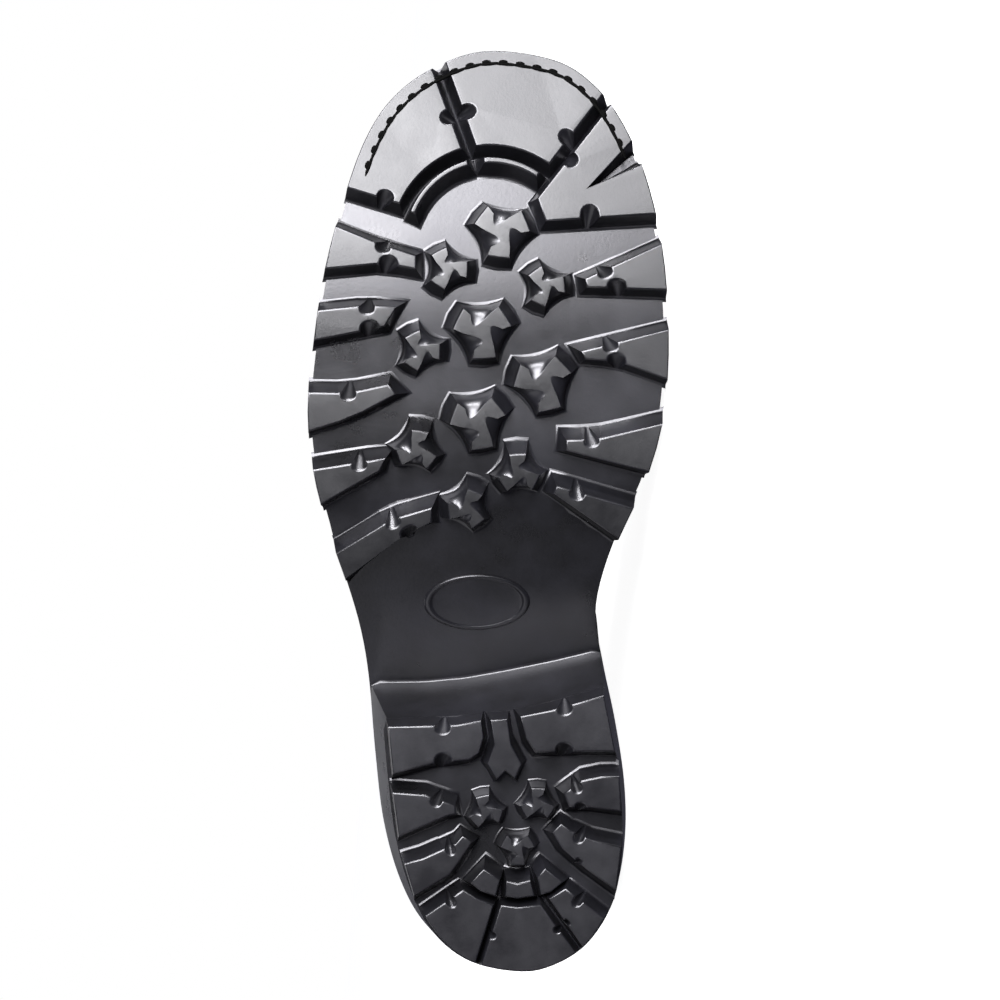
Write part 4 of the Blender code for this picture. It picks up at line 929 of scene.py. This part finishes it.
def leatherPatch(ringA, ringB, colA, colB, offset, rise=0.0):
    # a grid bent onto the upper; above the collar it runs on straight by the rise
    bm = bmesh.new()
    t, per = throat, upperForm["perStep"]
    extra = t["riseRows"] if rise else 0
    rows, cols = round((ringB - ringA) * per) + extra, round((colB - colA) * per)
    verts = bmesh.ops.create_grid(bm, x_segments=cols, y_segments=rows, size=0.5)["verts"]
    ring = np.array([ringA + (v.co.y + 0.5) * rows / per for v in verts])
    col = np.array([colA + (v.co.x + 0.5) * (colB - colA) for v in verts])
    top = float(upperForm["rings"])
    toSide = np.abs(2 * (col - colA) / (colB - colA) - 1)
    over = np.clip(ring - top, 0, None) * per / max(extra, 1) * rise
    over *= 1 - t["cornerDrop"] * toSide ** t["cornerPower"]
    ring = np.minimum(ring, top)
    offsets = np.full(len(verts), offset)
    spots, out = upperSpot(ring, col, offsets)
    lift = spots - upperSpot(ring - upperForm["liftStep"], col, offsets)[0]
    spots = spots + lift / np.maximum(np.linalg.norm(lift, axis=1), 1e-9)[:, None] * over[:, None]
    spots = spots + out * creaseDepth(spots)[:, None]
    for vert, spot in zip(verts, spots):
        vert.co = Vector(spot)
    return bm, ring, col


def finishLeather(bm, name, materials, nodes, thick, edgeMm):
    piece = finishPiece(bm, name, materials, nodes)
    wall = piece.modifiers.new("thickness", "SOLIDIFY")
    wall.thickness = thick * mm
    wall.offset = -1.0
    wall.use_even_offset = False
    wall.material_offset = len(materials) - 1
    rounded = piece.modifiers.new("turnedEdge", "BEVEL")
    rounded.width = edgeMm * mm
    rounded.segments = 2
    rounded.limit_method = "ANGLE"
    rounded.angle_limit = math.radians(60)
    return piece


def makeUpper():
    u, t = upperForm, throat
    bm, ring, col = leatherPatch(0, u["rings"], 0, 2 * u["half"], 0.0)
    bm.faces.ensure_lookup_table()
    gone = []
    for face in bm.faces:
        rings, cols = [ring[v.index] for v in face.verts], [col[v.index] for v in face.verts]
        if min(rings) >= t["ring"] - 1e-6 and abs(sum(cols) / 4 - u["half"]) < t["half"]:
            gone.append(face)
    bmesh.ops.delete(bm, geom=gone, context="FACES")
    bmesh.ops.remove_doubles(bm, verts=bm.verts, dist=0.05)
    bmesh.ops.recalc_face_normals(bm, faces=bm.faces)
    finishLeather(bm, "upperWall", [upperLeather, liningLeather], ["upper"], u["wall"],
                  u["edge"])


def makeOverlays():
    t, half, top = throat, upperForm["half"], upperForm["rings"]
    near, far = t["half"], t["half"] + t["eyestay"]
    raised = sole["gap"] + t["overlay"]
    patches = [
        ("eyestayLateral", "eyestay_lateral", t["ring"], top, half - far, half - near),
        ("eyestayMedial", "eyestay_medial", t["ring"], top, half + near, half + far),
        ("heelCounter", "heel_counter", t["counterFoot"], t["counterRings"], -t["counterHalf"],
         t["counterHalf"]),
    ]
    for name, node, *place in patches:
        bm, _, _ = leatherPatch(*place, raised)
        finishLeather(bm, name, [upperLeather], [node], raised, t["overlayEdge"])
    side = near + t["tongueSide"]
    bm, _, _ = leatherPatch(t["ring"] - t["tongueFoot"], top, half - side, half + side,
                            -(upperForm["wall"] + t["tongueClear"]), t["tongueRise"])
    finishLeather(bm, "tongueFlap", [upperLeather, liningLeather], ["tongue"],
                  t["tongueThick"], t["tongueEdge"])


makeUpper()
makeOverlays()
print("upper, overlays and tongue made")


# Welt: a strip round the top of the outsole, with its row of stitches

weltShape = {
    "segments": 220, "rounding": 0.9, "tuck": 0.5, "seat": 0.05,
    "stitchInset": 2.6, "stitchPitch": 6.0, "stitchFrom": 88.0, "stitchLength": 4.8, "stitchThick": 1.3,
    "stitchLift": 0.1, "stitchSteps": 400,
}


def makeWelt():
    bm = bmesh.new()
    loops = []
    inner = insetLoop(featherEdge, upperForm["wall"] - weltShape["tuck"])
    top, bottom = (lambda u: featherHeight(u) - sole["gap"]), (lambda u: baseTop(u) + weltShape["seat"])
    for loop, height in ((baseEdge, bottom), (baseEdge, top), (inner, top), (inner, bottom)):
        even = evenLoop(loop, weltShape["segments"])
        verts = [bm.verts.new((v, u, float(height(u)))) for u, v in even]
        loops.append([bm.edges.new((a, b)) for a, b in zip(verts, verts[1:] + verts[:1])])
    for first, second in zip(loops, loops[1:] + loops[:1]):
        bmesh.ops.bridge_loops(bm, edges=first + second)
    bmesh.ops.recalc_face_normals(bm, faces=bm.faces)
    bmesh.ops.bevel(bm, geom=loops[0] + loops[1], offset=weltShape["rounding"], segments=3, profile=0.5,
                    affect="EDGES", material=-1)
    finishPiece(bm, "weltStrip", [weltLeather], ["welt"], evenAngle=50)


makeWelt()
print("welt made")


# Stitches: small spun beads of thread, each laid along its row

stitchShape = {"sides": 6, "flat": 0.8, "reach": 0.3}


def addStitch(bm, middle, ahead, out, length, thick):
    s = stitchShape
    made = bmesh.ops.create_uvsphere(bm, u_segments=s["sides"], v_segments=s["sides"], radius=0.5)["verts"]
    ahead, out = Vector(ahead).normalized(), Vector(out).normalized()
    side = out.cross(ahead).normalized()
    turn = Matrix((side * thick, out * thick * s["flat"], ahead * length)).transposed()
    for vert in made:
        vert.co = Vector(middle) + turn @ vert.co


def stitchRow(bm, path, outs, pitch, length, thick):
    path, outs = np.array(path), np.array(outs)
    travel, reach = travelOf(path), stitchShape["reach"]

    def at(distance, rows):
        return np.array([np.interp(distance, travel, rows[:, k]) for k in range(3)])

    for spot in np.arange(pitch / 2, travel[-1] - pitch / 4, pitch):
        ahead = at(spot + reach, path) - at(spot - reach, path)
        addStitch(bm, at(spot, path), ahead, at(spot, outs), length, thick)


upperStitches = {
    "pitch": 3.4, "length": 3.0, "thick": 0.85, "lift": 0.1, "steps": 80,
    # insets of the rows from an edge, in rings and columns, and the ring of the collar's row
    "edge": 0.3, "double": 0.62, "foot": 0.3, "top": 0.4, "across": 0.25, "counterFoot": 0.8, "collar": 21.65,
}


def rowOnUpper(bm, ringA, colA, ringB, colB, offset):
    s = upperStitches
    share = np.linspace(0, 1, s["steps"])
    ring, col = ringA + (ringB - ringA) * share, colA + (colB - colA) * share
    spots, outs = upperSpot(ring, col, np.full(s["steps"], offset))
    spots = spots + outs * creaseDepth(spots)[:, None]
    stitchRow(bm, spots, outs, s["pitch"], s["length"], s["thick"])


def makeUpperStitches():
    s, t, half = upperStitches, throat, upperForm["half"]
    both = s["edge"], s["double"]
    low, high, foot = t["ring"] + s["foot"], upperForm["rings"] - s["top"], t["ring"] + s["across"]
    rows = []
    for turn in (-1, 1):
        near = half + turn * (t["half"] + s["edge"])
        outer = half + turn * (t["half"] + t["eyestay"])
        rows += [(low, outer - turn * inset, high, outer - turn * inset) for inset in both]
        rows += [(low, near, high, near), (foot, near, foot, outer - turn * s["edge"])]
        for inset in both:
            col = turn * (t["counterHalf"] - inset)
            rows.append((s["counterFoot"], col, t["counterRings"] - inset, col))
    for inset in both:
        ring, col = t["counterRings"] - inset, t["counterHalf"] - inset
        rows.append((ring, -col, ring, col))
    bm = bmesh.new()
    for row in rows:
        rowOnUpper(bm, *row, sole["gap"] + t["overlay"] + s["lift"])
    side = half - t["half"] - t["eyestay"]
    rowOnUpper(bm, s["collar"], -side, s["collar"], side, s["lift"])
    finishPiece(bm, "upperStitches", [upperThread])


def makeWeltStitches():
    w = weltShape
    bm = bmesh.new()
    loop = evenLoop(insetLoop(baseEdge, w["stitchInset"]), w["stitchSteps"])
    loop = loop[loop[:, 0] > w["stitchFrom"]]
    start = np.linalg.norm(np.diff(loop, axis=0), axis=1).argmax() + 1
    loop = np.roll(loop, -start, 0)
    path = [(v, u, float(featherHeight(u)) - sole["gap"] + w["stitchLift"]) for u, v in loop]
    stitchRow(bm, path, [(0, 0, 1)] * len(path), w["stitchPitch"], w["stitchLength"], w["stitchThick"])
    finishPiece(bm, "weltStitches", [soleThread])


toeStitches = {"inset": 4.6, "start": (268.2, 45.8), "end": (272.5, -42.4), "pitch": 5.7, "length": 9.0,
               "thick": 1.4, "knot": 3.2, "knotThick": 1.7, "knotOut": 0.7, "steps": 90, "sunk": 0.25}


def makeToeStitches():
    # the lockstitch that holds the sole's toe to the welt, pulled into the rubber, with a knot at each hole
    s = toeStitches
    bm = bmesh.new()
    for inset, length, thick in ((s["inset"], s["length"], s["thick"]),
                                 (s["inset"] - s["knotOut"], s["knot"], s["knotThick"])):
        rim = stretchOf(insetLoop(soleEdge, inset), s["start"], s["end"], s["steps"])
        path = [(v, u, float(treadHeight(u)) + s["sunk"]) for u, v in rim]
        outs = [(0, treadLean(u), -1.0) for u, v in rim]
        stitchRow(bm, path, outs, s["pitch"], length, thick)
    finishPiece(bm, "toeStitches", [soleThread])


makeUpperStitches()
makeWeltStitches()
makeToeStitches()
print("stitches made")


# Eyelets: spun rings with a rolled rim, and a near-black disc in each hole as painted shade

eyelets = {
    "pairs": 7, "inner": 2.3, "outer": 4.6, "thick": 1.2, "steps": 28, "profile": 13, "foot": -0.35,
    "hole": 0.3, "shadeDiscDepth": 0.2, "shadeDiscSteps": 20, "sunk": 0.1, "endRings": 0.7,
}


def eyeletRing(level):
    first, last = throat["ring"] + eyelets["endRings"], upperForm["rings"] - eyelets["endRings"]
    return first + (last - first) * level / (eyelets["pairs"] - 1)


def eyeletCol(turn):
    return upperForm["half"] + turn * (throat["half"] + throat["eyestay"] / 2)


def addEyelet(bm):
    e = eyelets
    middle, half = (e["inner"] + e["outer"]) / 2, (e["outer"] - e["inner"]) / 2
    turns = 2 * math.pi * np.arange(e["profile"]) / e["profile"]
    profile = [(middle + half * math.cos(a), 0, max(e["thick"] * math.sin(a), e["foot"])) for a in turns]
    verts = [bm.verts.new(p) for p in profile]
    edges = [bm.edges.new((a, b)) for a, b in zip(verts, verts[1:] + verts[:1])]
    bmesh.ops.spin(bm, geom=verts + edges, cent=(0, 0, 0), axis=(0, 0, 1), dvec=(0, 0, 0),
                   angle=2 * math.pi, steps=e["steps"], use_merge=True)
    bmesh.ops.remove_doubles(bm, verts=bm.verts, dist=0.01)
    bmesh.ops.recalc_face_normals(bm, faces=bm.faces)
    # a near-black disc just under the ring fills the hole: painted shade, taking the second material (the
    # dark thread)
    hole = e["inner"] + e["hole"]
    shadeDisc = bmesh.ops.create_circle(bm, cap_ends=True, segments=e["shadeDiscSteps"], radius=hole)["verts"]
    for vert in shadeDisc:
        vert.co.z = -e["shadeDiscDepth"]
    for face in {f for v in shadeDisc for f in v.link_faces}:
        face.material_index = 1


def makeEyelets():
    seat = 2 * sole["gap"] + throat["overlay"] - eyelets["sunk"]
    for side, turn in (("lateral", -1), ("medial", 1)):
        for level in range(eyelets["pairs"]):
            bm = bmesh.new()
            addEyelet(bm)
            spot, out = upperSpot(eyeletRing(level), eyeletCol(turn), seat)
            out = Vector(out)
            spot = Vector(spot) + out * float(creaseDepth(np.array([spot]))[0])
            bm.transform(Matrix.Translation(spot) @ out.to_track_quat("Z", "Y").to_matrix().to_4x4())
            name = f"eyelet{side.capitalize()}{level + 1}"
            finishPiece(bm, name, [eyeletMetal, soleThread], [f"eyelet_{side}_{level + 1}"],
                        evenAngle=60)


makeEyelets()
print("eyelets made")


# Lace: one braided cord, up out of an eyelet, across the throat, under the far edge to the next eyelet

laceShape = {"radius": 1.7, "sides": 12, "over": 2.4, "tongueLift": 1.4, "hidden": 0.1, "perSpan": 8}


def laceRoute(first):
    # places of a strand: level, side (1 and -1 at the eyelets), height; first is the side where it starts
    s, last = laceShape, eyelets["pairs"] - 1
    top, low = 2 * sole["gap"] + throat["overlay"] + eyelets["thick"], s["tongueLift"]
    edge = throat["half"] / (throat["half"] + throat["eyestay"] / 2)
    bar = [(1.0, s["hidden"]), (1.0, top + 1.0), (0.8, top + s["over"]), (edge, s["over"] + 1.2), (0.0, low)]
    places = [(0.0, -across, height) for across, height in bar] if first > 0 else []
    side = first
    for level in range(last):
        # the strand from one side passes over the other in the middle
        over = 1.0 if side > 0 else 0.0
        crossing = [
            (0.0, 1.0, s["hidden"]), (0.0, 0.985, top + 0.6), (0.08, 0.86, top + s["over"]),
            (0.2, edge * 1.05, 3.4), (0.34, 0.3, low + 1.0 + over), (0.5, 0.0, low + 0.4 + 2.6 * over),
            (0.64, -0.26, low), (0.78, -edge * 0.95, 0.1), (0.88, -0.8, -0.7), (0.97, -0.98, -0.8),
        ]
        places += [(level + share, side * across, height) for share, across, height in crossing]
        side = -side
    return places + [(last, side, s["hidden"]), (last, side, top + 0.7)]


def routePoints(places):
    level, side, height = np.array(places).T
    half = upperForm["half"]
    return upperSpot(eyeletRing(level), half + side * (eyeletCol(1) - half), height)[0]


def addCord(bm, route, radius, sides):
    braid = bm.loops.layers.uv.get("braid") or bm.loops.layers.uv.new("braid")
    travel = travelOf(route)
    side = Vector(route[1] - route[0]).orthogonal()
    rings = []
    for i, spot in enumerate(route):
        ahead = Vector(route[min(i + 1, len(route) - 1)] - route[max(i - 1, 0)]).normalized()
        side = (side - ahead * side.dot(ahead)).normalized()
        other = ahead.cross(side)
        rings.append([Vector(spot) + (side * math.cos(a) + other * math.sin(a)) * radius
                      for a in 2 * math.pi * np.arange(sides) / sides])

    def layBraid(number, left, cap):
        fresh = set(cap.verts)
        order = {v: k for verts in (left, cap.verts) for k, v in enumerate(verts)}
        for face in {f for v in cap.verts for f in v.link_faces if f is not cap}:
            steps = [order[v] for v in face.verts]
            wraps = max(steps) - min(steps) > 1
            for loop in face.loops:
                turn = order[loop.vert]
                turn = turn + sides if wraps and turn == 0 else turn
                loop[braid].uv = (turn * 2 * math.pi * radius / sides, travel[number + (loop.vert in fresh)])

    riseRings(bm, rings, layBraid)
    return travel[-1]


def makeLace():
    bm = bmesh.new()
    length = 0.0
    for first in (1, -1):
        route = smoothLine(routePoints(laceRoute(first)), laceShape["perSpan"], False)
        length += addCord(bm, route, laceShape["radius"], laceShape["sides"])
    bmesh.ops.recalc_face_normals(bm, faces=bm.faces)
    finishPiece(bm, "braidedLace", [laceCord], ["lace"])
    print("lace made,", round(length), "mm")


makeLace()

# Insole: the CAD board's shape is right, so it keeps its node and takes the lining leather
insoleBoard = frame["nodes"]["insole"]
insoleBoard.data.materials.clear()
insoleBoard.data.materials.append(liningLeather)


# Stage: pale floor, white surroundings, soft lights beyond the toe

stageSetup = {
    "floorSize": 40.0, "surround": 0.11, "surroundTint": "#e4e4ff", "seenTint": "#ffffff", "sensor": 36.0,
    "cameraFrom": (48.4, 233.9, -1100.0), "cameraAt": (0.7, 158.3, 5.0), "lens": 119.6, "roll": -0.29,
    "lights": [
        # name, place, aim, width, height, power
        ("toeSoftbox", (0.76, -1.37, 0.46), (0.1, -0.13, 0.06), 1.1, 0.9, 102.0),
        ("toeStrip", (0.63, -0.36, 0.21), (0.13, -0.13, 0.06), 0.06, 0.4, 8.0),
        ("heelFill", (-1.25, -1.0, 0.46), (0.0, -0.13, 0.06), 1.3, 0.9, 4.6),
        ("upperFill", (-0.6, 0.7, 1.3), (0.0, 0.05, 0.06), 1.4, 1.4, 15.0),
    ],
}


def lookAt(start, target, up):
    back = (start - target).normalized()
    right = up.cross(back).normalized()
    return Matrix.Translation(start) @ Matrix((right, back.cross(right), back)).transposed().to_4x4()


# Backlit paper: pale, with a little light of its own so that shadows stay soft
paperLook = {
    "sockets": {"Roughness": 0.9, "Emission Color": (1.0, 1.0, 1.0, 1.0), "Emission Strength": 0.93},
    "colours": ("#c4c4c4", "#fafafa"), "noise": {"tone": (400.0, 2.0, 0.5)},
    "mix": ("tone", 0.0, 1.0, 0.0, 1.0), "bump": [],
}


def makeStage():
    s = stageSetup
    bm = bmesh.new()
    bmesh.ops.create_grid(bm, x_segments=1, y_segments=1, size=s["floorSize"] / 2)
    mesh = bpy.data.meshes.new("floor")
    bm.to_mesh(mesh)
    bm.free()
    floor = bpy.data.objects.new("floor", mesh)
    mesh.materials.append(makeMaterial("backlitPaper", paperLook))
    bpy.context.scene.collection.objects.link(floor)
    floor.visible_glossy = False
    floor.visible_diffuse = False
    world = bpy.data.worlds.new("whiteStudio")
    world.use_nodes = True
    tree, around = world.node_tree, world.node_tree.nodes["Background"]
    seen = addNode(tree, "LightPath", {}, "Is Camera Ray")
    bright = addNode(tree, "MapRange", {"Value": seen, "To Min": s["surround"]}, "Result")
    tints = hexColour(s["surroundTint"]), hexColour(s["seenTint"])
    tint = addNode(tree, "Mix", {0: seen, 6: tints[0], 7: tints[1]}, 2, data_type="RGBA")
    tree.links.new(bright, around.inputs["Strength"])
    tree.links.new(tint, around.inputs["Color"])
    bpy.context.scene.world = world
    for name, start, aim, wide, tall, power in s["lights"]:
        data = bpy.data.lights.new(name, "AREA")
        data.shape = "RECTANGLE"
        data.size, data.size_y, data.energy = wide, tall, power
        light = bpy.data.objects.new(name, data)
        light.matrix_world = lookAt(Vector(start), Vector(aim), Vector((0, 0, 1)))
        bpy.context.scene.collection.objects.link(light)
    camera = bpy.data.objects.new("camera", bpy.data.cameras.new("camera"))
    camera.data.lens, camera.data.sensor_width = s["lens"], s["sensor"]
    start, target = (bootToRow @ Vector(s[key]) for key in ("cameraFrom", "cameraAt"))
    toeUp = (bootToRow.to_3x3() @ Vector((0, 1, 0))).normalized()
    camera.matrix_world = lookAt(start, target, toeUp) @ Matrix.Rotation(math.radians(s["roll"]), 4, "Z")
    bpy.context.scene.collection.objects.link(camera)
    bpy.context.scene.camera = camera
    bpy.context.scene.view_settings.view_transform = "Standard"


makeStage()
print("stage ready")

bpy.context.view_layer.update()
